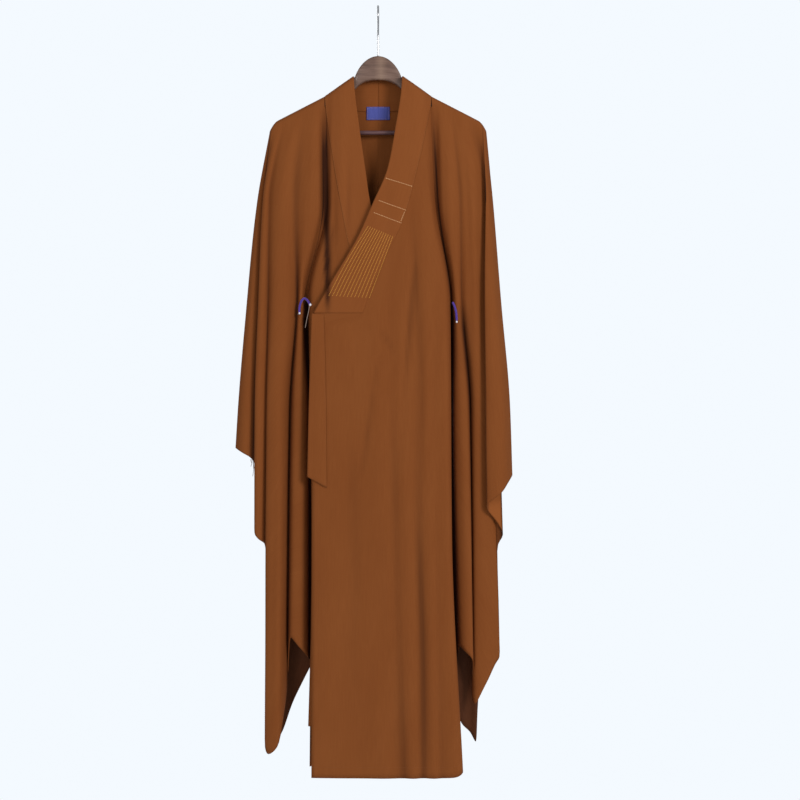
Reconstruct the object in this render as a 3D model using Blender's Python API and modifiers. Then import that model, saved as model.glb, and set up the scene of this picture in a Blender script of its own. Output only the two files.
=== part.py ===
"""A long crossed-front robe with wide sleeves, hung flat on a wooden hanger.

+X is the wearer's left, -Y is the front and +Z is up.  The origin is the inside
top of the hanger's hook, where a rod holds it.  The tables are in millimetres.
"""
import math
from collections import namedtuple

import bmesh
import bpy
import numpy as np

MM = 0.001
DENSE = 8                   # samples from row to row before the ridges are rounded
ROUNDING = 8                # passes that round them

# Cloth
CLOTH = 1.5                 # wall of the robe's cloth
BAND = 2.6                  # wall of the doubled collar band
SEAM = 0.3                  # space between pieces at a seam

# Heights
CHEST, ARM, LOW = -400.0, -600.0, -820.0
HEM_FRONT = -1576.0
HEM_INNER = -1474.0
HEM_BACK = -1560.0
HEM_SIDE = -1560.0           # the outer front's hem at its side seam
BAND_END = -631.0           # lower edge of the collar bands
LEVELS = (-230.0, -300.0, CHEST, -480.0, -550.0, ARM)
DOWN = (0.05, 0.13, 0.22, 0.33, 0.45, 0.58, 0.71, 0.82, 0.92, 1.0)   # parts of the way to the hem

# Shoulder line, the same on both sides
NECK_X, NECK_Z = 50.0, -143.0
POINT_X, POINT_Z = 109.0, -184.0        # where the collar seam crosses the shoulder
TIP_X = 222.0                           # end of the hanger, inside the sleeve
SLOPE = 0.515
TIP_ROUND = 17.0                        # length of the bend over the hanger's end
TIP_DROP = 13.0
ROLL = 12.0                             # half the depth of the fold over the hanger
ROLL_ROWS = (0.0, 0.8, 4.0, 12.0)
ROLL_RUN = 36.0                         # drop of the band's last stretch up to the shoulder
SEAM_TOP_X = 109.6                      # top of the seam between sleeve and body
CORNER_Z = -206.0                       # top corner of fronts and backs, between band and sleeve
SIDE_GAP = 0.7                          # between the middles of the walls at the side seam
SIDE_RUN = 60.0                         # drop in which that gap opens below the underarm
BAND_GAP = 0.9                          # the same where a panel meets its collar band
EDGE_STEPS = 300                        # places where a panel is tested against its band
UNDERARM_GAP = 3.0                      # space at the top of the side opening
SKIRT = -1100.0                         # the low level of fronts and backs
UNDERARM_HALF = 3.0                     # half the depth of the underarm's end
LAND, TOP_LAND = 2.2, 0.9               # flat step beside the sleeve seam, two on each side

# Hanger
WOOD_THICK = 12.0
WOOD_TOP = -100.5
ARCH_TOP = -149.7
BAR_RADIUS = 4.5
BAR_Z = -258.0
BAR_END = 180.0
WOOD_GAP = 0.7
WOOD_BEVEL = 5.0
DOME_X, DOME_Z = 58.0, 96.0             # half axes of the round neck
WIRE = 4.0
HOOK_RADIUS = 18.0                      # inside of the hook

# Small parts
TIE_GAP = 0.5                           # between the tie and the panel behind it
TIE_ROWS = 12                           # rows of points down the tie
LOOP_RADIUS = 2.4
LABEL, LABEL_GAP = 0.8, 0.7             # wall of the neck patch, and its space from the collar
LABEL_X, LABEL_TOP, LABEL_LOW = 24.0, -202.0, -229.0

Fold = namedtuple("Fold", "name x_chest x_arm x_low x_hem y_chest y_arm y_low y_hem z_hem")
Panel = namedtuple("Panel", "name x_top x_chest x_arm x_low x_hem"
                            " y_top y_chest y_arm y_low y_hem z_hem")
Edge = namedtuple("Edge", "x_in z_in x_out z_out")
SLEEVE_X = ("x_chest", "x_arm", "x_low", "x_hem")
SLEEVE_Y = ("y_chest", "y_arm", "y_low", "y_hem")
PANEL_X = ("x_top",) + SLEEVE_X
PANEL_Y = ("y_top",) + SLEEVE_Y

# Sleeves: one row for each ridge or valley, from the front seam to the outer fold
SLEEVE_RIGHT_FRONT = (
    Fold("front seam", -110, -149, -132, -134, -8, 2, 10, 12, -1345),
    Fold("beside the seam", -114, -151, -141, -143, -8, -4, 0, 1, -1340),
    Fold("edge over the gap", -119, -154, -145, -145, -28, -14, -12, -12, -1332),
    Fold("inner flap", -135, -157, -158, -162, -33, -20, -24, -26, -1312),
    Fold("inner flap edge", -152, -160, -173, -179, -29, -20, -21, -24, -1292),
    Fold("deep valley", -166, -166, -180, -186, -25, -10, 2, 4, -1385),
    Fold("long fold inside", -178, -174, -188, -194, -28, -18, -18, -20, -1458),
    Fold("long fold", -194, -192, -200, -205, -33, -31, -33, -35, -1516),
    Fold("long fold tip", -205, -208, -216, -224, -30, -30, -31, -31, -1531),
    Fold("long fold outside", -214, -218, -227, -232, -26, -25, -25, -24, -1508),
    Fold("soft valley", -222, -225, -227, -229, -19, -15, -12, -9, -1108),
    Fold("middle fold", -229, -236, -243, -246, -24, -24, -23, -21, -1092),
    Fold("middle fold edge", -236, -245, -253, -254, -19, -20, -18, -15, -1074),
    Fold("outer valley inside", -231, -239, -246, -248, -12, -12, -10, -8, -960),
    Fold("outer valley", -235, -244, -254, -257, -5, -4, -3, -2, -930),
    Fold("outer fold", -242, -257, -270, -275, -8, -11, -11, -10, -918),
    Fold("outer edge", -249, -271, -290, -296, 4, 6, 8, 10, -906),
)
SLEEVE_RIGHT_BACK = (
    SLEEVE_RIGHT_FRONT[-1],
    Fold("outer fold", -241, -258, -272, -277, 17, 20, 23, 26, -918),
    Fold("outer valley", -231, -243, -250, -252, 12, 13, 14, 16, -945),
    Fold("middle fold", -225, -240, -250, -252, 24, 28, 31, 33, -1080),
    Fold("soft valley", -215, -225, -229, -231, 19, 22, 24, 25, -1115),
    Fold("long fold outside", -203, -216, -226, -232, 27, 32, 36, 38, -1505),
    Fold("long fold", -184, -194, -203, -208, 29, 36, 41, 44, -1510),
    Fold("inner fold", -150, -166, -172, -176, 27, 30, 34, 37, -1430),
    Fold("beside the seam", -116, -152, -147, -147, 22, 12, 16, 18, -1372),
    Fold("back seam", -110, -149, -132, -134, 22, 2, 10, 12, -1345),
)
SLEEVE_LEFT_FRONT = (
    Fold("front seam", 121, 150, 145, 153, -10, 2, 10, 12, -1375),
    Fold("beside the seam", 125, 152, 153, 164, -10, -4, 0, 1, -1345),
    Fold("edge over the gap", 130, 155, 156, 167, -27, -13, -12, -12, -1312),
    Fold("inner flap", 143, 160, 170, 182, -33, -20, -24, -26, -1325),
    Fold("inner flap edge", 158, 166, 183, 195, -30, -20, -23, -25, -1344),
    Fold("deep valley", 168, 172, 189, 201, -22, -10, 3, 6, -1405),
    Fold("long fold inside", 178, 180, 197, 208, -25, -18, -16, -14, -1424),
    Fold("long fold", 191, 196, 209, 221, -27, -22, -19, -17, -1390),
    Fold("under the outer fold", 206, 210, 225, 240, -20, -17, -14, -12, -1350),
    Fold("long fold edge", 222, 226, 240, 251, -8, -8, -6, -4, -1328),
    Fold("turned fold edge", 226, 234, 248, 257, -14, -15, -15, -14, -1084),
    Fold("turned fold", 223, 226, 232, 240, -20, -20, -19, -18, -1052),
    Fold("outer fold inside", 219, 216, 217, 218, -27, -31, -33, -34, -1024),
    Fold("outer fold", 226, 232, 245, 250, -26, -34, -39, -41, -1000),
    Fold("outer fold round", 233, 245, 263, 268, -14, -20, -23, -25, -974),
    Fold("outer edge", 237, 253, 272, 277, 2, 0, 0, 0, -961),
)
SLEEVE_LEFT_BACK = (
    SLEEVE_LEFT_FRONT[-1],
    Fold("outer fold", 231, 245, 262, 266, 16, 18, 20, 22, -975),
    Fold("outer valley", 220, 230, 244, 250, 12, 13, 15, 17, -1010),
    Fold("middle fold", 212, 222, 240, 254, 24, 28, 32, 34, -1080),
    Fold("soft valley", 204, 210, 226, 236, 18, 20, 22, 24, -1130),
    Fold("long fold", 190, 198, 216, 236, 30, 36, 42, 45, -1370),
    Fold("lowest corner", 166, 176, 192, 203, 24, 29, 33, 36, -1518),
    Fold("inner fold", 148, 164, 178, 190, 29, 31, 35, 38, -1496),
    Fold("beside the seam", 127, 154, 162, 174, 22, 12, 18, 22, -1455),
    Fold("back seam", 121, 150, 145, 153, 22, 2, 10, 12, -1375),
)

# Fronts: one row for each fold, from the free edge to the side
FRONT_LEFT = (
    Panel("free edge", -131, -131, -131, -134, -135, -30, -36, -42, -45, -47, HEM_FRONT),
    Panel("flat part", -98, -98, -98, -100, -101, -31, -37, -43, -47, -50, HEM_FRONT),
    Panel("flat part", -62, -63, -64, -64, -64, -32, -38, -44, -49, -52, HEM_FRONT),
    Panel("band's corner", -31, -31, -31, -28, -26, -32, -38, -44, -49, -53, HEM_FRONT),
    Panel("first ridge", -6, -2, 2, 8, 14, -32, -39, -45, -51, -56, HEM_FRONT),
    Panel("first valley", 16, 21, 26, 36, 50, -32, -37, -43, -47, -50, HEM_FRONT),
    Panel("second ridge", 38, 44, 50, 60, 72, -31, -38, -45, -51, -57, HEM_FRONT),
    Panel("second valley", 58, 66, 74, 84, 92, -30, -36, -42, -46, -49, HEM_FRONT),
    Panel("third ridge", 74, 84, 98, 106, 114, -29, -36, -45, -51, -57, HEM_FRONT),
    Panel("third valley", 86, 96, 118, 122, 132, -26, -33, -42, -46, -50, HEM_FRONT),
    Panel("side ridge", 97, 107, 136, 143, 160, -20, -28, -40, -47, -55, -1574),
    Panel("side fold", 104, 114, 146, 151, 174, -14, -16, -24, -36, -44, -1564),
    Panel("beside the seam", 107.6, 118, 148, 150, 164, -12, -10, -9, -20, -25, HEM_SIDE),
    Panel("side seam", SEAM_TOP_X, 121, 148, 149, 160, -12, -10, -2, -12, -14, HEM_SIDE),
)
FRONT_RIGHT = (
    Panel("free edge", 84, 84, 84, 84, 84, -22, -25, -28, -32, -34, HEM_INNER),
    Panel("hidden part", 60, 60, 60, 58, 58, -22, -25, -28, -33, -36, HEM_INNER),
    Panel("hidden part", 36, 36, 36, 32, 30, -22, -25, -28, -32, -34, HEM_INNER),
    Panel("band's corner", -6, -6, -6, -7, -8, -22, -25, -29, -33, -37, HEM_INNER),
    Panel("first ridge", -28, -29, -30, -34, -38, -22, -25, -29, -32, -35, HEM_INNER),
    Panel("first valley", -50, -53, -56, -60, -64, -22, -25, -28, -33, -37, HEM_INNER),
    Panel("second ridge", -70, -76, -84, -86, -90, -22, -26, -29, -32, -35, HEM_INNER),
    Panel("second valley", -82, -86, -106, -106, -112, -20, -24, -28, -32, -36, HEM_INNER),
    Panel("side ridge", -94, -94, -132, -124, -132, -16, -24, -25, -29, -34, HEM_INNER),
    Panel("side fold", -101, -101, -138, -130, -142, -13, -14, -19, -22, -28, HEM_INNER),
    Panel("beside the seam", -107.6, -106, -141, -134, -142, -12, -8, -9, -15, -18, HEM_INNER),
    Panel("side seam", -SEAM_TOP_X, -110, -143, -136, -140, -12, -8, -1, -8, -9, HEM_INNER),
)

# Backs: one row for each fold, from the centre seam to the side
BACK_LEFT = (
    Panel("centre seam", 0, 0, 0, 0, 0, 20, 26, 34, 40, 46, HEM_BACK),
    Panel("beside the centre", 5, 5, 5, 5, 5, 20, 26, 34, 40, 46, HEM_BACK),
    Panel("first ridge", 22, 24, 26, 28, 30, 21, 28, 38, 46, 56, HEM_BACK),
    Panel("first valley", 40, 45, 50, 52, 56, 20, 26, 33, 38, 44, HEM_BACK),
    Panel("second ridge", 60, 68, 76, 78, 86, 20, 28, 38, 46, 57, HEM_BACK),
    Panel("second valley", 78, 88, 100, 100, 110, 18, 25, 32, 38, 46, HEM_BACK),
    Panel("side ridge", 96, 105, 124, 118, 128, 15, 26, 27, 36, 46, HEM_BACK),
    Panel("side fold", 103, 113, 134, 127, 137, 13, 22, 16, 17, 21, HEM_BACK),
    Panel("beside the seam", 107.6, 117, 141, 134, 142, 12, 22, 5, 1, 1, HEM_BACK),
    Panel("side seam", SEAM_TOP_X, 121, 148, 149, 160, 12, 22, -2, -12, -14, HEM_BACK),
)
BACK_RIGHT = (
    Panel("centre seam", 0, 0, 0, 0, 0, 20, 26, 34, 40, 46, HEM_BACK),
    Panel("beside the centre", -5, -5, -5, -5, -5, 20, 26, 34, 40, 46, HEM_BACK),
    Panel("first ridge", -22, -23, -24, -26, -28, 21, 28, 37, 45, 54, HEM_BACK),
    Panel("first valley", -40, -43, -46, -48, -50, 20, 26, 33, 39, 45, HEM_BACK),
    Panel("second ridge", -60, -66, -72, -74, -78, 20, 28, 38, 46, 56, HEM_BACK),
    Panel("second valley", -78, -84, -98, -96, -100, 18, 25, 32, 38, 45, HEM_BACK),
    Panel("side ridge", -94, -97, -122, -112, -117, 15, 25, 27, 36, 45, HEM_BACK),
    Panel("side fold", -101, -101, -131, -119, -124, 13, 22, 17, 18, 22, HEM_BACK),
    Panel("beside the seam", -107.6, -106, -136, -126, -130, 12, 22, 6, 2, 2, HEM_BACK),
    Panel("side seam", -SEAM_TOP_X, -110, -143, -136, -140, 12, 22, -1, -8, -9, HEM_BACK),
)

# Collar bands: inner and outer edge, from the lower end up to the shoulder
BAND_LEFT = (
    Edge(-131, BAND_END, -31, BAND_END),
    Edge(-101, -578, -17, -592),
    Edge(-40, -474, 24, -498),
    Edge(-10, -406, 49, -447),
    Edge(20, -334, 78, -345),
    Edge(36, -250, 98, -255),
    Edge(47, -180, 108.2, -200),
    Edge(NECK_X, NECK_Z, POINT_X, POINT_Z),
)
BAND_RIGHT = (
    Edge(84, BAND_END, -4, BAND_END),
    Edge(58, -578, -28, -578),
    Edge(14, -474, -58, -498),
    Edge(-15, -406, -74, -420),
    Edge(-26, -334, -88, -340),
    Edge(-38, -250, -101, -255),
    Edge(-47, -180, -108.2, -200),
    Edge(-NECK_X, NECK_Z, -POINT_X, POINT_Z),
)
# Tie on the outer front, from the band's end down: left and right edge in the photo's view
TIE = (
    Edge(-139.4, -640, -110, -650),
    Edge(-140.5, -720, -107, -730),
    Edge(-142.0, -840, -105, -850),
    Edge(-143.5, -964, -104, -986),
)
# Cord loops at the tops of the side openings
LOOP_RIGHT = ((-160.3, -23.5, -631), (-161.2, -23.3, -622), (-158, -23.7, -607), (-151, -23.5, -598),
              (-144, -23.8, -603), (-139.5, -23.3, -612))
LOOP_LEFT = ((155.5, -20.3, -611), (157.5, -21.7, -619), (159.5, -22.8, -629), (160.5, -23.1, -640))

# Back of the collar, from the shoulder to the centre back, on the left side
BAND_BACK = (
    Edge(NECK_X, NECK_Z, POINT_X, POINT_Z),
    Edge(46, -146, 104, -192),
    Edge(34, -149, 76, -205),
    Edge(16, -150, 36, -211),
    Edge(0, -150, 0, -212),
)


def smooth(knots, values, at):
    """Monotone cubic through values[k] at knots[k]: flat at each ridge and valley."""
    knots = np.asarray(knots, float)
    values = np.asarray(values, float)
    step = np.diff(knots)
    slope = np.diff(values) / step
    tangent = np.zeros_like(values)
    tangent[0], tangent[-1] = slope[0], slope[-1]
    same = slope[:-1] * slope[1:] > 0
    weight_a = 2 * step[1:] + step[:-1]
    weight_b = step[1:] + 2 * step[:-1]
    safe = np.where(same, slope[:-1] * slope[1:], 1.0)
    mean = (weight_a + weight_b) * safe / (weight_a * slope[1:] + weight_b * slope[:-1] + 1e-12 * ~same)
    tangent[1:-1] = np.where(same, mean, 0.0)
    at = np.clip(at, knots[0], knots[-1])
    i = np.clip(np.searchsorted(knots, at, side="right") - 1, 0, len(step) - 1)
    t = (at - knots[i]) / step[i]
    return ((1 + 2 * t) * (1 - t) ** 2 * values[i] + t * (1 - t) ** 2 * step[i] * tangent[i]
            + t * t * (3 - 2 * t) * values[i + 1] + t * t * (t - 1) * step[i] * tangent[i + 1])


def column(rows, name):
    """One named column of a table as an array."""
    return np.array([getattr(row, name) for row in rows], float)


def spread(rows, name, at):
    """A table column at the places `at`, counted in rows, with its ridges and valleys rounded."""
    dense = np.arange((len(rows) - 1) * DENSE + 1) / DENSE
    values = smooth(np.arange(len(rows)), column(rows, name), dense)
    for _ in range(ROUNDING):
        values[1:-1] = values[1:-1] / 2 + (values[:-2] + values[2:]) / 4
    return np.interp(at, dense, values)


def shoulder(x):
    """Height of the garment's top line at x: neck slope, shoulder slope, bend at the tip."""
    x = np.abs(np.asarray(x, float))
    neck = NECK_Z + (x - NECK_X) * (POINT_Z - NECK_Z) / (POINT_X - NECK_X)
    arm = POINT_Z - SLOPE * (x - POINT_X)
    bend = TIP_DROP * (np.clip(x - (TIP_X - TIP_ROUND), 0, None) / TIP_ROUND) ** 2
    return np.where(x < NECK_X, NECK_Z, np.where(x < POINT_X, neck, arm - bend))


def roll(drop):
    """Depth over the hanger, 0 on the top line and 1 from ROLL below it: a quarter circle."""
    rest = 1 - np.clip(drop / ROLL, 0, 1)
    return np.sqrt(np.clip(1 - rest * rest, 0, 1))


def threads(knot_z, knot_x, knot_y, heights):
    """Points of each thread at its heights, one row of the arrays for each height."""
    x = np.empty_like(heights)
    y = np.empty_like(heights)
    for i in range(heights.shape[1]):
        x[:, i] = smooth(-knot_z[:, i], knot_x[:, i], -heights[:, i])
        y[:, i] = smooth(-knot_z[:, i], knot_y[:, i], -heights[:, i])
    return x, y


def armhole(row, heights, piece_side):
    """Seam between sleeve and body from the shoulder to the underarm, on one piece's side of it."""
    side = 1 if row.x_arm > 0 else -1
    front = -1 if row.y_chest < 0 else 1
    knots = (-POINT_Z, -CHEST, -ARM)
    x = smooth(knots, (side * SEAM_TOP_X, row.x_chest, row.x_arm), -heights)
    y = smooth(knots, (front * ROLL, row.y_chest, row.y_arm + front * UNDERARM_HALF), -heights)
    near_arm = np.clip((heights - ARM) / (CHEST - ARM), 0, 1)
    gap = SEAM / 2 + (UNDERARM_GAP - SEAM) / 2 * (1 - near_arm) ** 4
    return x + side * piece_side * gap, y


def set_armhole(x, y, heights, row, piece_side):
    """Lay the first three columns along the armhole, down to the underarm, with the same depth."""
    side = 1 if row.x_arm > 0 else -1
    for k in range(3):
        seam_x, seam_y = armhole(row, heights[:, k], piece_side)
        above = heights[:, k] >= ARM
        land = np.interp(-heights[:, k], (-CORNER_Z, 30 - CORNER_Z), (TOP_LAND, LAND))
        x[:, k] = np.where(above, seam_x + side * piece_side * k * land, x[:, k])
        y[:, k] = np.where(above, seam_y, y[:, k])


def sleeve_grid(front, back):
    """Grid of a sleeve: threads hang from the shoulder line, round from seam to seam."""
    side = 1 if front[0].x_arm > 0 else -1
    rows = front + back[1:]
    corner = len(front) - 1
    count = 2 * corner + 1
    halves = []
    front_at = np.linspace(0, corner, count)
    back_at = np.linspace(len(rows) - 1, corner, count)
    for depth, at in ((-ROLL, front_at), (ROLL, back_at)):
        run = np.linspace(0, TIP_X - SEAM_TOP_X, count)
        run[:3] = 0, TOP_LAND, 2 * TOP_LAND
        x_top = side * (SEAM_TOP_X + run)
        z_top = shoulder(x_top)
        y_top = depth * np.minimum(1.0, np.linspace(6, 0, count))
        z_hem = spread(rows, "z_hem", at)
        knot_z = np.stack([z_top, z_top * 0 + CHEST, z_top * 0 + ARM, z_top * 0 + LOW, z_hem])
        knot_x = np.stack([x_top] + [spread(rows, n, at) for n in SLEEVE_X])
        knot_y = np.stack([y_top] + [spread(rows, n, at) for n in SLEEVE_Y])
        top_rows = [z_top - drop for drop in ROLL_ROWS]
        level_rows = [np.minimum(z_top - ROLL, level) for level in LEVELS]
        low_rows = [ARM + part * (z_hem - ARM) for part in DOWN]
        heights = np.stack(top_rows + level_rows + low_rows)
        x, y = threads(knot_z, knot_x, knot_y, heights)
        tube_x, tube_y = threads(knot_z[2:, :1], knot_x[2:, :1], knot_y[2:, :1], heights[:, :1])
        x[:, 0], y[:, 0] = tube_x[:, 0] + side * UNDERARM_GAP / 2, tube_y[:, 0]
        set_armhole(x, y, heights, rows[0] if depth < 0 else rows[-1], 1)
        grid = np.stack([x, y * roll(z_top - heights), heights], axis=-1)
        halves.append(grid)
    return np.concatenate([halves[0], halves[1][:, -2::-1]], axis=1)


class Sheet:
    """The surface of a front or back: threads that run from the shoulder's height to the hem."""

    def __init__(self, rows):
        self.side = 1 if rows[-1].x_arm > 0 else -1
        at = np.arange(2 * len(rows) - 1) / 2
        self.z_hem = spread(rows, "z_hem", at)
        level = np.ones_like(self.z_hem)
        self.knot_z = np.stack([level * POINT_Z, level * CHEST, level * ARM, level * SKIRT, self.z_hem])
        self.knot_x = np.stack([spread(rows, n, at) for n in PANEL_X])
        self.knot_y = np.stack([spread(rows, n, at) for n in PANEL_Y])

    def depth(self, x, z):
        """Depth of the sheet at a place seen from the front, rolled over the shoulder line."""
        out = np.empty(len(x))
        for i, (px, pz) in enumerate(zip(x, z)):
            row_z = np.full((1, self.z_hem.size), pz)
            row_x, row_y = threads(self.knot_z, self.knot_x, self.knot_y, row_z)
            order = np.argsort(row_x[0] * self.side)
            out[i] = np.interp(px * self.side, row_x[0][order] * self.side, row_y[0][order])
        return out * roll(shoulder(x) - z)

    def hang(self, seam_row, z_top):
        """Grid of the threads from z_top down, with its side on the armhole and the side seam."""
        level_rows = [np.minimum(z_top, level) for level in (0.0,) + LEVELS]
        low_rows = [np.minimum(z_top, ARM + part * (self.z_hem - ARM)) for part in DOWN]
        heights = np.stack(level_rows + low_rows)
        x, y = threads(self.knot_z, self.knot_x, self.knot_y, heights)
        front = -1 if seam_row.y_chest < 0 else 1
        tube_x, tube_y = threads(self.knot_z[2:, -1:], self.knot_x[2:, -1:], self.knot_y[2:, -1:],
                                 heights[:, -1:])
        near_side = np.clip((ARM - heights[:, -1]) / SIDE_RUN, 0, 1)
        x[:, -1] = tube_x[:, 0] - self.side * UNDERARM_GAP / 2
        y[:, -1] = tube_y[:, 0] + front * SIDE_GAP / 2 * near_side
        x[:, -2], y[:, -2] = x[:, -1], y[:, -1] + front * LAND
        set_armhole(x[:, ::-1], y[:, ::-1], heights[:, ::-1], seam_row, -1)
        return np.stack([x, y, heights], axis=-1)

    def grid(self, seam_row, edge_x, edge_z):
        """Grid below the collar seam, whose line is edge_x at edge_z, with the armhole cut out."""
        search = np.linspace(CORNER_Z, BAND_END - BAND_GAP, EDGE_STEPS)
        line = np.interp(-search, -edge_z, edge_x)
        across, _ = threads(self.knot_z, self.knot_x, self.knot_y,
                            np.repeat(search[:, None], self.z_hem.size, axis=1))
        outside = (across - line[:, None]) * self.side > 0
        outside[:, -1] = True
        first = np.where(outside.any(axis=0), outside.argmax(axis=0), len(search) - 1)
        return self.hang(seam_row, search[first])


def back_grid(sheet, seam_row, collar_x, collar_z):
    """Grid of a back below the collar, from the centre seam to the side."""
    x_top = np.abs(sheet.knot_x[0])
    z_top = np.interp(x_top, collar_x, collar_z) - BAND_GAP
    z_top[-1] = CORNER_Z
    grid = sheet.hang(seam_row, z_top)
    grid[:, 0, 0] += sheet.side * SEAM / 2
    return grid


def band_grid(front_edges, back_edges, front_sheet, back_sheet):
    """Grid of a collar band: up the front, over the shoulder and round to the centre back."""
    side = front_sheet.side
    rolls = [1 - d / ROLL_RUN for d in ROLL_ROWS[::-1]]
    last = len(front_edges) - 2
    front_at = np.concatenate([np.arange(0, last + 0.01, 0.5), last + np.array(rolls)])
    back_at = np.array([0.08, 0.35, 1, 1.5, 2, 2.5, 3, 3.5, 4])
    across = np.linspace(0, 1, 4)
    parts = []
    for edges, at, sheet in ((front_edges, front_at, front_sheet), (back_edges, back_at, back_sheet)):
        knots = np.arange(len(edges))
        sign = 1 if edges is front_edges else side
        x_in = smooth(knots, sign * column(edges, "x_in"), at)
        x_out = smooth(knots, sign * column(edges, "x_out"), at)
        z_in = smooth(knots, column(edges, "z_in"), at)
        z_out = smooth(knots, column(edges, "z_out"), at)
        x = x_in[:, None] + (x_out - x_in)[:, None] * across
        z = z_in[:, None] + (z_out - z_in)[:, None] * across
        y = sheet.depth(x.ravel(), z.ravel()).reshape(x.shape)
        parts.append(np.stack([x, y, z], axis=-1))
    grid = np.concatenate(parts, axis=0)
    grid[-1, :, 0] = side * SEAM / 2
    return grid


def strap_grid(sheet):
    """Grid of the tie that hangs from the lower end of the outer band, in front of the panel."""
    down = np.linspace(0, len(TIE) - 1, TIE_ROWS)
    across = np.linspace(0, 1, 4)
    x_in, x_out, z_in, z_out = [smooth(np.arange(len(TIE)), column(TIE, name), down)
                                for name in ("x_in", "x_out", "z_in", "z_out")]
    x = x_in[:, None] + (x_out - x_in)[:, None] * across
    z = z_in[:, None] + (z_out - z_in)[:, None] * across
    y = sheet.depth(x.ravel(), z.ravel()).reshape(x.shape) - CLOTH - TIE_GAP
    return np.stack([x, y, z], axis=-1)


def label_grid(sheets):
    """Grid of the patch on the inside of the back neck."""
    x, z = np.meshgrid(np.linspace(-LABEL_X, LABEL_X, 9), np.linspace(LABEL_TOP, LABEL_LOW, 4))
    y = np.where(x > 0, sheets[0].depth(np.abs(x).ravel(), z.ravel()).reshape(x.shape),
                 sheets[1].depth(-np.abs(x).ravel(), z.ravel()).reshape(x.shape))
    return np.stack([x, y - (BAND + LABEL) / 2 - LABEL_GAP, z], axis=-1)


def clear_scene():
    for obj in list(bpy.data.objects):
        bpy.data.objects.remove(obj, do_unlink=True)


def material(name, color, roughness, metallic=0.0):
    """A plain Principled finish."""
    mat = bpy.data.materials.new(name)
    mat.use_nodes = True
    shader = mat.node_tree.nodes["Principled BSDF"]
    shader.inputs["Base Color"].default_value = (*color, 1.0)
    shader.inputs["Roughness"].default_value = roughness
    shader.inputs["Metallic"].default_value = metallic
    return mat


def add_object(name, data, mat, parts):
    data.materials.append(mat)
    obj = bpy.data.objects.new(name, data)
    parts.objects.link(obj)
    return obj


def cloth_piece(name, grid, thickness, mat, parts):
    """A wall of cloth on a grid of points in millimetres; points that meet are merged."""
    rows, cols, _ = grid.shape
    index = np.arange(rows * cols).reshape(rows, cols)
    faces = np.stack([index[:-1, :-1], index[1:, :-1], index[1:, 1:], index[:-1, 1:]], axis=-1)
    mesh = bpy.data.meshes.new(name)
    mesh.from_pydata((grid.reshape(-1, 3) * MM).tolist(), [], faces.reshape(-1, 4).tolist())
    bm = bmesh.new()
    bm.from_mesh(mesh)
    bmesh.ops.remove_doubles(bm, verts=bm.verts, dist=0.05 * MM)
    bmesh.ops.recalc_face_normals(bm, faces=bm.faces)
    bm.to_mesh(mesh)
    bm.free()
    obj = add_object(name, mesh, mat, parts)
    wall = obj.modifiers.new("wall", "SOLIDIFY")
    wall.thickness = thickness * MM
    wall.offset = 0.0
    wall.solidify_mode = "NON_MANIFOLD"
    wall.nonmanifold_thickness_mode = "FIXED"
    mesh.shade_smooth()
    return obj


def wire(name, points, radius, mat, parts):
    """A round wire along points in millimetres, with closed ends."""
    curve = bpy.data.curves.new(name, "CURVE")
    curve.dimensions = "3D"
    curve.bevel_depth = radius * MM
    curve.bevel_resolution = 2
    curve.use_fill_caps = True
    spline = curve.splines.new("POLY")
    spline.points.add(len(points) - 1)
    for point, place in zip(spline.points, points):
        point.co = (place[0] * MM, place[1] * MM, place[2] * MM, 1.0)
    return add_object(name, curve, mat, parts)


def hanger_wood(mat, parts):
    """The hanger's board: a flat outline with rounded edges."""
    top = []
    for angle in np.linspace(90, 40, 7):
        top.append((DOME_X * math.cos(math.radians(angle)),
                    WOOD_TOP - DOME_Z * (1 - math.sin(math.radians(angle)))))
    for x in (NECK_X - 1.5, NECK_X + 4, 80.0, POINT_X, 140.0, 175.0, 200.0):
        wall = BAND if x <= POINT_X else CLOTH
        top.append((x, float(shoulder(x)) - wall / 2 - WOOD_GAP))
    under = [(214.0, -252.0), (213.0, -262.0), (204.0, -268.0), (190.0, -269.0), (BAR_END + SEAM, -266.0),
             (BAR_END + SEAM, -247.0), (170.0, -238.0), (140.0, -222.0), (POINT_X, -207.0), (76.0, -189.0),
             (45.0, -167.0), (38.0, -160.0), (26.0, -153.5), (13.0, -150.5), (0.0, ARCH_TOP)]
    half = top + under
    outline = half + [(-x, z) for x, z in half[-2:0:-1]]
    curve = bpy.data.curves.new("hanger_wood", "CURVE")
    curve.dimensions = "2D"
    curve.fill_mode = "BOTH"
    curve.extrude = (WOOD_THICK / 2 - WOOD_BEVEL) * MM
    curve.bevel_depth = WOOD_BEVEL * MM
    curve.bevel_resolution = 1
    curve.offset = -WOOD_BEVEL * MM
    spline = curve.splines.new("POLY")
    spline.points.add(len(outline) - 1)
    for point, (x, z) in zip(spline.points, outline):
        point.co = (x * MM, z * MM, 0.0, 1.0)
    spline.use_cyclic_u = True
    obj = add_object("hanger_wood", curve, mat, parts)
    obj.rotation_euler = (math.pi / 2, 0.0, 0.0)
    return obj


def hanger_hook(mat, parts):
    """The wire hook, bent back and over the rod, in the plane that faces +X."""
    radius = HOOK_RADIUS + WIRE / 2
    centre = -HOOK_RADIUS
    points = [(0.0, 0.0, z) for z in (WOOD_TOP + SEAM, -84.0, -68.0)]
    stem_end = (0.0, 0.0, -56.0)
    bend = [stem_end, (0.0, 3.0, -47.0), (0.0, 9.5, -39.0), (0.0, 16.0, -31.0)]
    points += bend
    for angle in np.linspace(-18, 212, 24):
        points.append((0.0, radius * math.cos(math.radians(angle)),
                       centre + radius * math.sin(math.radians(angle))))
    return wire("hanger_hook", points, WIRE / 2, mat, parts)


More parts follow.
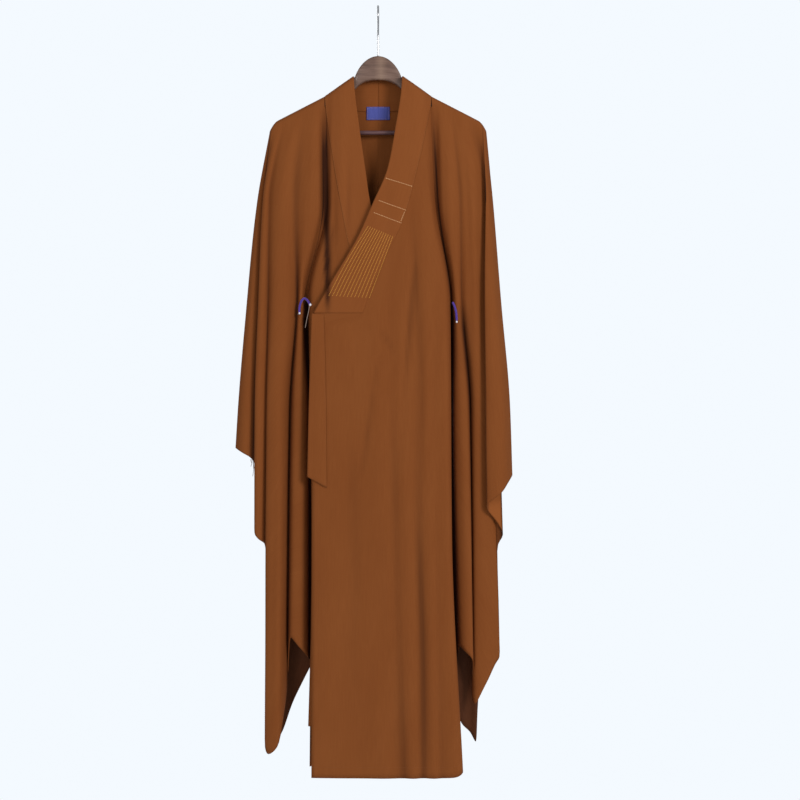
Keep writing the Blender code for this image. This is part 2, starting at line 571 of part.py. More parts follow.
def build():
    clear_scene()
    parts = bpy.data.collections.new("robe_on_hanger")
    bpy.context.scene.collection.children.link(parts)
    cloth = material("rust cloth", (0.20, 0.065, 0.018), 0.85)
    purple = material("purple cord", (0.08, 0.03, 0.30), 0.6)
    blue = material("blue patch", (0.05, 0.06, 0.35), 0.7)
    wood = material("walnut wood", (0.22, 0.13, 0.10), 0.45)
    steel = material("steel wire", (0.75, 0.75, 0.76), 0.25, 1.0)

    left = Sheet(FRONT_LEFT)
    right = Sheet(FRONT_RIGHT)
    back_left = Sheet(BACK_LEFT)
    back_right = Sheet(BACK_RIGHT)
    edges = {}
    for key, band in (("left", BAND_LEFT), ("right", BAND_RIGHT)):
        at = np.linspace(0, len(band) - 1, 200)
        side = 1 if key == "left" else -1
        edges[key] = (smooth(np.arange(len(band)), column(band, "x_out"), at)[::-1] + side * BAND_GAP,
                      smooth(np.arange(len(band)), column(band, "z_out"), at)[::-1])
    at = np.linspace(0, len(BAND_BACK) - 1, 100)
    collar_x = smooth(np.arange(len(BAND_BACK)), column(BAND_BACK, "x_out"), at)[::-1]
    collar_z = smooth(np.arange(len(BAND_BACK)), column(BAND_BACK, "z_out"), at)[::-1]

    cloth_piece("sleeve_left", sleeve_grid(SLEEVE_LEFT_FRONT, SLEEVE_LEFT_BACK), CLOTH, cloth, parts)
    cloth_piece("sleeve_right", sleeve_grid(SLEEVE_RIGHT_FRONT, SLEEVE_RIGHT_BACK), CLOTH, cloth, parts)
    cloth_piece("front_left", left.grid(SLEEVE_LEFT_FRONT[0], *edges["left"]), CLOTH, cloth, parts)
    cloth_piece("front_right", right.grid(SLEEVE_RIGHT_FRONT[0], *edges["right"]), CLOTH, cloth, parts)
    cloth_piece("back_left", back_grid(back_left, SLEEVE_LEFT_BACK[-1], collar_x, collar_z),
                CLOTH, cloth, parts)
    cloth_piece("back_right", back_grid(back_right, SLEEVE_RIGHT_BACK[-1], collar_x, collar_z),
                CLOTH, cloth, parts)
    cloth_piece("collar_left", band_grid(BAND_LEFT, BAND_BACK, left, back_left), BAND, cloth, parts)
    cloth_piece("collar_right", band_grid(BAND_RIGHT, BAND_BACK, right, back_right), BAND, cloth, parts)
    cloth_piece("tie_outer", strap_grid(left), CLOTH, cloth, parts)
    cloth_piece("neck_label", label_grid((back_left, back_right)), LABEL, blue, parts)
    wire("loop_left", LOOP_LEFT, LOOP_RADIUS, purple, parts)
    wire("loop_right", LOOP_RIGHT, LOOP_RADIUS, purple, parts)
    hanger_wood(wood, parts)
    wire("hanger_bar", [(-BAR_END, 0, BAR_Z), (0, 0, BAR_Z), (BAR_END, 0, BAR_Z)], BAR_RADIUS, wood, parts)
    hanger_hook(steel, parts)


build()
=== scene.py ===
import bmesh
import bpy
import numpy as np
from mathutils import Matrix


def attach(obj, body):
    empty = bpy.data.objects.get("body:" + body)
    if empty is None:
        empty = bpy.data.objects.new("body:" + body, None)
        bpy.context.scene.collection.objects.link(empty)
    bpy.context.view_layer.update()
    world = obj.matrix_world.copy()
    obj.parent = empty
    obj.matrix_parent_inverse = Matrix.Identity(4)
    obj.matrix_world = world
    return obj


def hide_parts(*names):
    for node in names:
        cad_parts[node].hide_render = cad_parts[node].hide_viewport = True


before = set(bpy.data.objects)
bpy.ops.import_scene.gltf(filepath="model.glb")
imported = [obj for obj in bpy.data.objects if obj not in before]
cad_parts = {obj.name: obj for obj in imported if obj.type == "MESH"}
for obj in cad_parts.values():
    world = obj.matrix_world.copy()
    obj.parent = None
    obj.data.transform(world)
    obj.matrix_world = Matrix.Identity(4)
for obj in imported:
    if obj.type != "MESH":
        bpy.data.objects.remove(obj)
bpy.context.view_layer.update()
print("frame loaded,", len(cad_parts), "nodes")

# sizes in millimetres, as the solids have them
mm = 0.001
robe = dict(cloth=1.5, band=2.6, seam=0.0, chest=-400.0, arm=-600.0, low=-820.0, skirt=-1100.0,
            bandEnd=-631.0, bandGap=-0.9, cornerZ=-206.0, seamTopX=109.6, underarmGap=0.4,
            underarmHalf=3.0, sideGap=0.7, sideRun=60.0, land=2.2, topLand=0.9, rollRun=36.0)
shoulderSizes = dict(neckX=50.0, neckZ=-143.0, pointX=109.0, pointZ=-184.0, tipX=222.0,
                     slope=0.515, tipRound=17.0, tipDrop=13.0, roll=12.0)
perRow = 4          # columns of a surface for each row of its table

# one row for each ridge or valley: name, x at chest, arm, low and hem, y at the same, height of the hem
sleeveRightFront = [
    ("front seam", -110, -149, -132, -134, -8, 2, 10, 12, -1345),
    ("beside the seam", -114, -151, -141, -143, -8, -4, 0, 1, -1340),
    ("edge over the gap", -119, -154, -145, -145, -28, -14, -12, -12, -1332),
    ("inner flap", -135, -157, -158, -162, -33, -20, -24, -26, -1312),
    ("inner flap edge", -152, -160, -173, -179, -29, -20, -21, -24, -1292),
    ("deep valley", -166, -166, -180, -186, -25, -10, 2, 4, -1385),
    ("long fold inside", -178, -174, -188, -194, -28, -18, -18, -20, -1458),
    ("long fold", -194, -192, -200, -205, -33, -31, -33, -35, -1516),
    ("long fold tip", -205, -208, -216, -224, -30, -30, -31, -31, -1531),
    ("long fold outside", -214, -218, -227, -232, -26, -25, -25, -24, -1508),
    ("soft valley", -222, -225, -227, -229, -19, -15, -12, -9, -1108),
    ("middle fold", -229, -236, -243, -246, -24, -24, -23, -21, -1092),
    ("middle fold edge", -236, -245, -253, -254, -19, -20, -18, -15, -1074),
    ("outer valley inside", -231, -239, -246, -248, -12, -12, -10, -8, -960),
    ("outer valley", -235, -244, -254, -257, -5, -4, -3, -2, -930),
    ("outer fold", -242, -257, -270, -275, -8, -11, -11, -10, -918),
    ("outer edge", -249, -271, -290, -296, 4, 6, 8, 10, -906),
]
sleeveRightBack = [
    ("outer fold", -241, -258, -272, -277, 17, 20, 23, 26, -918),
    ("outer valley", -231, -243, -250, -252, 12, 13, 14, 16, -945),
    ("middle fold", -225, -240, -250, -252, 24, 28, 31, 33, -1080),
    ("soft valley", -215, -225, -229, -231, 19, 22, 24, 25, -1115),
    ("long fold outside", -203, -216, -226, -232, 27, 32, 36, 38, -1505),
    ("long fold", -184, -194, -203, -208, 29, 36, 41, 44, -1510),
    ("inner fold", -150, -166, -172, -176, 27, 30, 34, 37, -1430),
    ("beside the seam", -116, -152, -147, -147, 22, 12, 16, 18, -1372),
    ("back seam", -110, -149, -132, -134, 22, 2, 10, 12, -1345),
]
sleeveLeftFront = [
    ("front seam", 121, 150, 145, 153, -10, 2, 10, 12, -1430),
    ("beside the seam", 125, 152, 153, 164, -10, -4, 0, 1, -1335),
    ("edge over the gap", 130, 155, 156, 167, -27, -13, -12, -12, -1312),
    ("inner flap", 143, 160, 170, 182, -33, -20, -24, -26, -1325),
    ("inner flap edge", 158, 166, 183, 195, -30, -20, -23, -25, -1344),
    ("deep valley", 168, 172, 189, 193, -22, -10, 3, 6, -1405),
    ("long fold inside", 178, 180, 197, 198, -25, -18, -16, -14, -1432),
    ("long fold", 191, 196, 209, 221, -27, -22, -19, -17, -1390),
    ("under the outer fold", 206, 210, 225, 240, -20, -17, -14, -12, -1350),
    ("long fold edge", 218, 222, 233, 251, -12, -10, -8, -5, -1328),
    ("under the turned fold", 222, 227, 236, 243, -10, -9, -9, -8, -1114),
    ("turned fold edge", 226, 234, 248, 257, -14, -15, -15, -14, -1084),
    ("turned fold", 223, 226, 232, 240, -20, -20, -19, -18, -1052),
    ("outer fold inside", 219, 216, 217, 218, -27, -31, -33, -34, -1024),
    ("outer fold", 226, 232, 245, 250, -26, -34, -39, -41, -1000),
    ("outer fold round", 233, 245, 263, 268, -14, -20, -23, -25, -974),
    ("outer edge", 237, 253, 272, 277, 2, 0, 0, 0, -961),
]
sleeveLeftBack = [
    ("outer fold", 231, 245, 262, 266, 16, 18, 20, 22, -975),
    ("outer valley", 220, 230, 244, 250, 12, 13, 15, 17, -1010),
    ("middle fold", 212, 222, 240, 254, 24, 28, 32, 34, -1080),
    ("soft valley", 204, 210, 226, 236, 18, 20, 22, 24, -1130),
    ("long fold", 190, 198, 213, 207, 30, 36, 42, 45, -1425),
    ("lowest corner", 166, 176, 192, 203, 24, 29, 33, 36, -1518),
    ("inner fold", 148, 164, 178, 190, 29, 31, 35, 38, -1496),
    ("beside the seam", 127, 154, 162, 174, 22, 12, 18, 22, -1478),
    ("back seam", 121, 150, 145, 153, 22, 2, 10, 12, -1430),
]

# one row for each fold: name, x at top, chest, arm, skirt and hem, y at the same, height of the hem
frontLeftFolds = [
    ("free edge", -131, -131, -131, -134, -135, -30, -36, -42, -45, -47, -1576),
    ("flat part", -98, -98, -98, -100, -101, -31, -37, -43, -47, -50, -1576),
    ("flat part", -62, -63, -64, -64, -64, -32, -38, -44, -49, -52, -1576),
    ("band's corner", -31, -31, -31, -28, -26, -32, -38, -44, -49, -53, -1576),
    ("first ridge", -6, -2, 2, 8, 14, -32, -39, -45, -51, -56, -1576),
    ("first valley", 16, 21, 26, 36, 50, -32, -37, -43, -47, -50, -1576),
    ("second ridge", 38, 44, 50, 60, 72, -31, -38, -45, -51, -57, -1576),
    ("second valley", 58, 66, 74, 84, 92, -30, -36, -42, -46, -49, -1576),
    ("third ridge", 74, 84, 98, 106, 114, -29, -36, -45, -51, -57, -1576),
    ("third valley", 86, 96, 118, 122, 132, -26, -33, -42, -46, -50, -1576),
    ("side ridge", 97, 107, 136, 143, 160, -20, -28, -40, -47, -55, -1574),
    ("side fold", 104, 114, 146, 151, 174, -14, -16, -24, -36, -44, -1564),
    ("beside the seam", 107.6, 118, 148, 150, 164, -12, -10, -9, -20, -25, -1560),
    ("side seam", 109.6, 121, 148, 149, 160, -12, -10, -2, -12, -14, -1560),
]
frontRightFolds = [
    ("free edge", 84, 84, 84, 84, 84, -22, -25, -28, -32, -34, -1474),
    ("hidden part", 60, 60, 60, 58, 58, -22, -25, -28, -33, -36, -1474),
    ("hidden part", 36, 36, 36, 32, 30, -22, -25, -28, -32, -34, -1474),
    ("band's corner", -6, -6, -6, -7, -8, -22, -25, -29, -33, -37, -1474),
    ("first ridge", -28, -29, -30, -34, -38, -22, -25, -29, -32, -35, -1474),
    ("first valley", -50, -53, -56, -60, -64, -22, -25, -28, -33, -37, -1474),
    ("second ridge", -70, -76, -84, -86, -90, -22, -26, -29, -32, -35, -1474),
    ("second valley", -82, -86, -106, -106, -112, -20, -24, -28, -32, -36, -1474),
    ("side ridge", -94, -94, -132, -124, -132, -16, -24, -25, -29, -34, -1474),
    ("side fold", -101, -101, -138, -130, -142, -13, -14, -19, -22, -28, -1474),
    ("beside the seam", -107.6, -106, -141, -134, -142, -12, -8, -9, -15, -18, -1474),
    ("side seam", -109.6, -110, -143, -136, -140, -12, -8, -1, -8, -9, -1474),
]
backLeftFolds = [
    ("centre seam", 0, 0, 0, 0, 0, 20, 26, 34, 40, 46, -1560),
    ("beside the centre", 5, 5, 5, 5, 5, 20, 26, 34, 40, 46, -1560),
    ("first ridge", 22, 24, 26, 28, 30, 21, 28, 38, 46, 56, -1560),
    ("first valley", 40, 45, 50, 52, 56, 20, 26, 33, 38, 44, -1560),
    ("second ridge", 60, 68, 76, 78, 86, 20, 28, 38, 46, 57, -1560),
    ("second valley", 78, 88, 100, 100, 110, 18, 25, 32, 38, 46, -1560),
    ("side ridge", 96, 105, 124, 118, 128, 15, 26, 27, 36, 46, -1560),
    ("side fold", 103, 113, 134, 127, 137, 13, 22, 16, 17, 21, -1560),
    ("beside the seam", 107.6, 117, 141, 134, 142, 12, 22, 5, 1, 1, -1560),
    ("side seam", 109.6, 121, 148, 149, 160, 12, 22, -2, -12, -14, -1560),
]
backRightFolds = [
    ("centre seam", 0, 0, 0, 0, 0, 20, 26, 34, 40, 46, -1560),
    ("beside the centre", -5, -5, -5, -5, -5, 20, 26, 34, 40, 46, -1560),
    ("first ridge", -22, -23, -24, -26, -28, 21, 28, 37, 45, 54, -1560),
    ("first valley", -40, -43, -46, -48, -50, 20, 26, 33, 39, 45, -1560),
    ("second ridge", -60, -66, -72, -74, -78, 20, 28, 38, 46, 56, -1560),
    ("second valley", -78, -84, -98, -96, -100, 18, 25, 32, 38, 45, -1560),
    ("side ridge", -94, -97, -122, -112, -117, 15, 25, 27, 36, 45, -1560),
    ("side fold", -101, -101, -131, -119, -124, 13, 22, 17, 18, 22, -1560),
    ("beside the seam", -107.6, -106, -136, -126, -130, 12, 22, 6, 2, 2, -1560),
    ("side seam", -109.6, -110, -143, -136, -140, 12, 22, -1, -8, -9, -1560),
]

# bands and tie, from the lower end up: x and z of the inner edge, x and z of the outer edge
bandLeftEdges = [
    (-131, -631, -31, -631),
    (-101, -578, -17, -592),
    (-40, -474, 24, -498),
    (-10, -406, 49, -447),
    (20, -334, 78, -345),
    (36, -250, 98, -255),
    (47, -180, 108.2, -200),
    (50, -143, 109, -184),
]
bandRightEdges = [
    (84, -631, -4, -631),
    (58, -578, -28, -578),
    (14, -474, -58, -498),
    (-15, -406, -74, -420),
    (-26, -334, -88, -340),
    (-38, -250, -101, -255),
    (-47, -180, -108.2, -200),
    (-50, -143, -109, -184),
]
bandBackEdges = [
    (50, -143, 109, -184),
    (46, -146, 104, -192),
    (34, -147, 76, -205),
    (16, -144, 36, -211),
    (0, -142, 0, -212),
]
tieEdges = [
    (-134.5, -632, -110, -633),
    (-137.5, -720, -107, -730),
    (-141.0, -840, -105, -850),
    (-143.5, -964, -104, -986),
]

# creases: name, x and z of the top, x and z of the low end, bow, half width, depth (plus is inwards)
frontLeftCreases = [
    ("beside the armhole", 101, -290, 133, -600, 2, 5.0, 2.6),
    ("strip along the armhole", 110, -300, 142, -610, 2, 5.0, -1.6),
    ("below the stripes", 15, -660, -30, -960, -5, 8.0, 2.4),
    ("chest to the middle", 76, -520, 46, -980, -5, 7.0, 2.8),
    ("beside the first valley", 44, -600, 66, -1180, -6, 8.0, -1.6),
    ("from the chest", 66, -400, 92, -1000, 8, 7.0, 2.0),
    ("from the armhole", 122, -620, 106, -1040, -5, 7.0, 1.8),
    ("low, to the hem", 78, -1060, 98, -1572, 5, 9.0, 1.8),
    ("low middle", 6, -1000, 26, -1570, -7, 14.0, 1.6),
    ("wide and flat", -58, -760, -50, -1500, 6, 22.0, 1.4),
    ("near the free edge", -104, -1010, -112, -1576, 3, 12.0, -1.2),
    ("across the waist", -24, -655, 40, -720, 4, 9.0, 1.2),
]
frontRightCreases = [
    ("beside the band", -62, -300, -66, -520, 3, 7.0, 1.8),
    ("from the shoulder", -92, -240, -84, -560, -3, 6.0, 2.2),
    ("to the underarm", -84, -430, -118, -590, 3, 6.0, 1.8),
    ("under the outer front", -74, -800, -92, -1440, 4, 10.0, 1.4),
    ("deep, beside the band", -108, -330, -103, -600, 0, 6.0, 3.5),
    ("beside the side", -118, -700, -122, -1300, 3, 6.0, 1.4),
]
backCreases = [
    ("left of the centre", 14, -260, 22, -1100, 5, 9.0, -1.8),
    ("right of the centre", -16, -300, -14, -1240, -5, 9.0, -1.8),
    ("left blade", 58, -240, 70, -760, 6, 9.0, 2.0),
    ("right blade", -62, -250, -72, -820, -5, 9.0, 2.0),
    ("left low", 66, -900, 98, -1550, 7, 12.0, -2.0),
    ("right low", -70, -860, -90, -1550, -7, 12.0, -2.0),
    ("to the left underarm", 92, -330, 126, -600, 3, 6.0, 1.8),
    ("to the right underarm", -88, -330, -120, -600, -3, 6.0, 1.8),
]
sleeveRightCreases = [
    ("from the shoulder seam", -128, -230, -136, -640, 4, 6.0, 1.8),
    ("beside the deep valley", -146, -330, -160, -900, -4, 5.0, -1.2),
    ("down the long fold", -196, -330, -204, -1100, 4, 6.0, 1.6),
    ("long fold, low", -210, -900, -222, -1480, 3, 6.0, 1.3),
    ("on the outer fold", -250, -480, -276, -880, 3, 6.0, 1.2),
    ("near the outer hem", -264, -640, -284, -900, -3, 7.0, -1.0),
    ("flap, low", -154, -900, -164, -1290, 3, 7.0, 1.2),
]
sleeveLeftCreases = [
    ("from the shoulder seam", 136, -240, 146, -640, -4, 6.0, 1.8),
    ("upper fold", 176, -270, 190, -760, 5, 6.0, 2.0),
    ("beside the long fold", 204, -380, 214, -900, 3, 6.0, 1.2),
    ("outer fold, upper", 226, -320, 246, -800, -4, 6.0, 1.4),
    ("outer fold, low", 232, -640, 250, -960, 3, 7.0, 1.3),
    ("long fold, low", 214, -900, 232, -1320, 3, 6.0, 1.3),
    ("flap, low", 166, -860, 182, -1300, -3, 7.0, 1.2),
]


def monotone(knots, values, at):
    # monotone cubic down each column: flat at each high and low, never past the values beside it
    step = np.diff(knots, axis=0)
    slope = np.diff(values, axis=0) / step
    tangent = np.zeros_like(values)
    tangent[0], tangent[-1] = slope[0], slope[-1]
    product = slope[:-1] * slope[1:]
    before, after = 2 * step[1:] + step[:-1], step[1:] + 2 * step[:-1]
    below = before * slope[1:] + after * slope[:-1]
    tangent[1:-1] = np.where(product > 0, (before + after) * product / np.where(product > 0, below, 1.0), 0.0)
    at = np.clip(at, knots[0], knots[-1])
    cell = (at[None] >= knots[1:-1, None]).sum(axis=0)

    def pick(table):
        return np.take_along_axis(table, cell, axis=0)

    t = (at - pick(knots)) / pick(step)
    return ((1 + 2 * t) * (1 - t) ** 2 * pick(values) + t * (1 - t) ** 2 * pick(step) * pick(tangent)
            + t * t * (3 - 2 * t) * pick(values[1:]) + t * t * (t - 1) * pick(step) * pick(tangent[1:]))


def along(knots, values, at):
    # the same for one line
    return monotone(np.asarray(knots, float)[:, None], np.asarray(values, float)[:, None],
                    np.asarray(at, float)[:, None])[:, 0]


def spread(rows, column, at, passes=8):
    # a table column between its rows, with its ridges and valleys rounded by averaging neighbours
    dense = np.arange((len(rows) - 1) * 8 + 1) / 8
    line = along(range(len(rows)), [row[column] for row in rows], dense)
    for _ in range(passes):
        line[1:-1] = line[1:-1] / 2 + (line[:-2] + line[2:]) / 4
    return np.interp(at, dense, line)


def shoulderHeight(x):
    # straight down the neck, straight down the arm, then a parabola over the hanger's tip
    s, x = shoulderSizes, np.abs(x)
    neck = s["neckZ"] + (x - s["neckX"]) * (s["pointZ"] - s["neckZ"]) / (s["pointX"] - s["neckX"])
    bend = s["tipDrop"] * (np.clip(x - (s["tipX"] - s["tipRound"]), 0, None) / s["tipRound"]) ** 2
    arm = s["pointZ"] - s["slope"] * (x - s["pointX"]) - bend
    return np.where(x < s["neckX"], s["neckZ"], np.where(x < s["pointX"], neck, arm))


def overHanger(drop):
    # quarter circle: no depth on the top line, the whole depth from the roll's height down
    rest = 1 - np.clip(drop / shoulderSizes["roll"], 0, 1)
    return np.sqrt(np.clip(1 - rest * rest, 0, 1))


def threads(knots, heights):
    # x and y of each thread at its heights
    knotZ, knotX, knotY = knots
    return monotone(-knotZ, knotX, -heights), monotone(-knotZ, knotY, -heights)


def creaseDepth(x, z, rows):
    # each crease: a bell across its line, which bows by half a sine and fades at both ends
    total = np.zeros_like(x)
    for _, topX, topZ, lowX, lowZ, bow, width, depth in rows:
        reach = np.hypot(lowX - topX, lowZ - topZ)
        dirX, dirZ = (lowX - topX) / reach, (lowZ - topZ) / reach
        part = np.clip(((x - topX) * dirX + (z - topZ) * dirZ) / reach, 0, 1)
        off = (x - topX) * dirZ - (z - topZ) * dirX + bow * np.sin(np.pi * part)
        total += depth * np.clip(4 * part * (1 - part), 0, 1) ** 0.7 * np.exp(-(off / width) ** 2)
    return total


def unevenness(x, z, shift):
    # slow waves of three lengths, longer down the cloth than across it
    return (0.22 * np.sin(x / 13.0 + z / 230.0 + shift) * np.sin(z / 113.0 + 1.7 * shift)
            + 0.10 * np.sin(x / 6.3 - z / 160.0 + 2.3 * shift) * np.sin(z / 67.0 + shift)
            + 0.45 * np.sin(x / 27.0 + z / 410.0 + 0.6 * shift))


def armhole(row, heights, pieceSide):
    # seam between sleeve and body, from the shoulder to the underarm, on one piece's side of it
    side, front = np.sign(row[2]), np.sign(row[5])
    knots = (-shoulderSizes["pointZ"], -robe["chest"], -robe["arm"])
    x = along(knots, (side * robe["seamTopX"], row[1], row[2]), -heights)
    y = along(knots, (front * shoulderSizes["roll"], row[5], row[6] + front * robe["underarmHalf"]), -heights)
    up = np.clip((heights - robe["arm"]) / (robe["chest"] - robe["arm"]), 0, 1)
    gap = robe["seam"] / 2 + (robe["underarmGap"] - robe["seam"]) / 2 * (1 - up) ** 4
    return x + side * pieceSide * gap, y


def layArmhole(x, y, heights, row, pieceSide):
    # the first columns lie flat along the armhole, in small equal steps, down to the underarm
    side, steps = np.sign(row[2]), perRow + 1
    for k in range(steps):
        seamX, seamY = armhole(row, heights[:, k], pieceSide)
        above = heights[:, k] >= robe["arm"] - 0.01
        step = np.interp(-heights[:, k], (-robe["cornerZ"], 30 - robe["cornerZ"]),
                         (robe["topLand"], robe["land"]))
        x[:, k] = np.where(above, seamX + side * pieceSide * k * step * 2 / perRow, x[:, k])
        y[:, k] = np.where(above, seamY, y[:, k])


def gridNormals(grid, frontFacing=None):
    # cross product of the two directions on the surface, turned so that the given part faces the front
    normal = np.cross(np.gradient(grid, axis=1), np.gradient(grid, axis=0))
    size = np.linalg.norm(normal, axis=-1, keepdims=True)
    normal = normal / np.where(size < 1e-9, 1.0, size)
    part = normal if frontFacing is None else normal[frontFacing]
    return normal if part[..., 1].mean() < 0 else -normal


def sleeveSurface(front, back, creases, shift):
    # threads hang from the shoulder line; round from the front seam over the outer fold to the back seam
    side = np.sign(front[0][2])
    rows = front + back
    corner = len(front) - 1
    count = perRow * corner + 1
    turn = np.linspace(0, np.pi / 2, 9)
    halves = []
    for depth, at in ((-1, np.linspace(0, corner, count)), (1, np.linspace(len(rows) - 1, corner, count))):
        share = np.interp(np.linspace(0, 1, count), (0, 0.33, 0.66, 0.84, 1), (0, 0.38, 0.78, 0.965, 1))
        run = share * (shoulderSizes["tipX"] - robe["seamTopX"])
        run[:perRow + 1] = np.arange(perRow + 1) * robe["topLand"] * 2 / perRow
        topX = side * (robe["seamTopX"] + run)
        topZ = shoulderHeight(topX)
        topY = depth * shoulderSizes["roll"] * np.minimum(1.0, np.linspace(6, 0, count))
        hemZ = spread(rows, 9, at, 2)
        level = np.ones_like(topZ)
        knots = (np.stack([topZ, level * robe["chest"], level * robe["arm"], level * robe["low"], hemZ]),
                 np.stack([topX] + [spread(rows, n, at) for n in (1, 2, 3, 4)]),
                 np.stack([topY] + [spread(rows, n, at) for n in (5, 6, 7, 8)]))
        start = topZ - shoulderSizes["roll"]
        rolled = [topZ - shoulderSizes["roll"] * (1 - np.cos(t)) for t in turn]
        upper = [start + s * (robe["arm"] - start) for s in np.linspace(0, 1, 37)[1:]]
        lower = [robe["arm"] + s * (hemZ - robe["arm"]) for s in np.linspace(0, 1, 73)[1:]]
        heights = np.stack(rolled + upper + lower)
        x, y = threads(knots, heights)
        tube = threads([k[2:, :1] for k in knots], heights[:, :1])
        down = np.clip(robe["arm"] - heights[:, 0], 0, None)
        tuck = (1 - np.exp(-down / 18)) * np.clip(1 - down / 220, 0, 1)
        x[:, 0] = tube[0][:, 0] + side * (robe["underarmGap"] / 2 - 12 * tuck)
        y[:, 0] = tube[1][:, 0] + 5 * tuck
        layArmhole(x, y, heights, rows[0] if depth < 0 else rows[-1], 1)
        y = y * overHanger(topZ - heights)
        halves.append(np.stack([x, y, heights], axis=-1))
    grid = np.concatenate([halves[0], halves[1][:, -2::-1]], axis=1)
    normals = gridNormals(grid, (slice(40, None), slice(perRow, 3 * perRow)))
    columns = np.arange(grid.shape[1])
    seamFade = np.clip(np.minimum(columns, columns[::-1]) / (2.0 * perRow) - 0.5, 0, 1)
    topFade = np.clip((shoulderHeight(grid[..., 0]) - grid[..., 2] - 8) / 60, 0, 1)
    push = creaseDepth(grid[..., 0], grid[..., 2], creases) + unevenness(grid[..., 0], grid[..., 2], shift)
    return grid - normals * (push * seamFade * topFade)[..., None]


def panelSheet(rows, creases, shift):
    # the surface that a front or back is cut from, with the bands and the tie that lie in it
    at = np.arange(perRow * (len(rows) - 1) + 1) / perRow
    hemZ = spread(rows, 11, at)
    level = np.ones_like(hemZ)
    knots = (np.stack([level * shoulderSizes["pointZ"], level * robe["chest"], level * robe["arm"],
                       level * robe["skirt"], hemZ]),
             np.stack([spread(rows, n, at) for n in (1, 2, 3, 4, 5)]),
             np.stack([spread(rows, n, at) for n in (6, 7, 8, 9, 10)]))
    return dict(knots=knots, hemZ=hemZ, side=np.sign(rows[-1][3]), front=np.sign(rows[0][6]),
                creases=creases, shift=shift)


def relief(sheet, x, z):
    # creases and unevenness of a sheet, fading beside the armhole and the side seam
    seam = np.interp(-z, (184, 400, 600, 700), (110, 118, 148, 150))
    fade = np.clip((seam - 6 - x * sheet["side"]) / 16, 0, 1)
    push = creaseDepth(x, z, sheet["creases"]) + unevenness(x, z, sheet["shift"])
    return -sheet["front"] * push * fade


def sheetDepth(sheet, x, z):
    # depth of a sheet at places seen from the front, over the shoulder line too
    knots, side = sheet["knots"], sheet["side"]
    flatX, flatZ = x.ravel(), z.ravel()
    rowX, rowY = threads(knots, np.repeat(flatZ[:, None], len(sheet["hemZ"]), axis=1))
    order = np.argsort(rowX * side, axis=1)
    rowX, rowY = np.take_along_axis(rowX * side, order, 1), np.take_along_axis(rowY, order, 1)
    place = np.clip(flatX * side, rowX[:, 0], rowX[:, -1])[:, None]
    cell = np.clip((rowX <= place).sum(axis=1) - 1, 0, rowX.shape[1] - 2)[:, None]
    x0, x1 = np.take_along_axis(rowX, cell, 1), np.take_along_axis(rowX, cell + 1, 1)
    y0, y1 = np.take_along_axis(rowY, cell, 1), np.take_along_axis(rowY, cell + 1, 1)
    y = (y0 + (y1 - y0) * (place - x0) / np.where(x1 - x0 < 1e-9, 1.0, x1 - x0))[:, 0].reshape(x.shape)
    return (y + relief(sheet, x, z)) * overHanger(shoulderHeight(x) - z)


def hangPanel(sheet, seamRow, topZ):
    # the panel's own threads from its top edge down, its side on the armhole and the side seam
    side, front = sheet["side"], np.sign(seamRow[5])
    knee = np.minimum(robe["arm"], topZ - 30)
    upper = [topZ + s * (knee - topZ) for s in np.linspace(0, 1, 35)]
    lower = [knee + s * (sheet["hemZ"] - knee) for s in np.linspace(0, 1, 81)[1:]]
    heights = np.stack(upper + lower)
    x, y = threads(sheet["knots"], heights)
    y += relief(sheet, x, heights)
    tube = threads([k[2:, -1:] for k in sheet["knots"]], heights[:, -1:])
    down = np.clip((robe["arm"] - heights[:, -1]) / robe["sideRun"], 0, 1)
    x[:, -1] = tube[0][:, 0] - side * robe["underarmGap"] / 2
    y[:, -1] = tube[1][:, 0] + front * robe["sideGap"] / 2 * down
    half = perRow // 2
    for k in range(1, perRow):
        edge = min(k, half) / half * front * robe["land"]
        blend = max(k - half, 0) / half
        x[:, -1 - k] = x[:, -1] * (1 - blend) + x[:, -1 - perRow] * blend
        y[:, -1 - k] = (y[:, -1] + edge) * (1 - blend) + y[:, -1 - perRow] * blend
    layArmhole(x[:, ::-1], y[:, ::-1], heights[:, ::-1], seamRow, -1)
    return np.stack([x, y, heights], axis=-1)


def frontSurface(sheet, seamRow, bandEdges):
    # each thread starts where it comes out from under the collar band
    knots, side = np.arange(len(bandEdges)), sheet["side"]
    at = np.linspace(0, len(bandEdges) - 1, 400)
    edgeX = along(knots, [row[2] for row in bandEdges], at)[::-1] + side * robe["bandGap"]
    edgeZ = along(knots, [row[3] for row in bandEdges], at)[::-1]
    search = np.linspace(robe["cornerZ"], robe["bandEnd"] - robe["bandGap"], 1200)
    across, _ = threads(sheet["knots"], np.repeat(search[:, None], len(sheet["hemZ"]), axis=1))
    outside = (across - np.interp(-search, -edgeZ, edgeX)[:, None]) * side > 0
    outside[:, -1] = True
    first = np.where(outside.any(axis=0), outside.argmax(axis=0), len(search) - 1)
    return hangPanel(sheet, seamRow, search[first])


def backSurface(sheet, seamRow):
    # the same below the collar's back edge, up to the centre seam
    at = np.linspace(0, len(bandBackEdges) - 1, 200)
    knots = np.arange(len(bandBackEdges))
    edgeX = along(knots, [row[2] for row in bandBackEdges], at)[::-1]
    edgeZ = along(knots, [row[3] for row in bandBackEdges], at)[::-1]
    topZ = np.interp(np.abs(sheet["knots"][1][0]), edgeX, edgeZ) - robe["bandGap"]
    topZ[-1 - perRow:] = np.linspace(topZ[-1 - perRow], robe["cornerZ"], perRow + 1)
    grid = hangPanel(sheet, seamRow, topZ)
    grid[:, 0, 0] += sheet["side"] * robe["seam"] / 2
    return grid


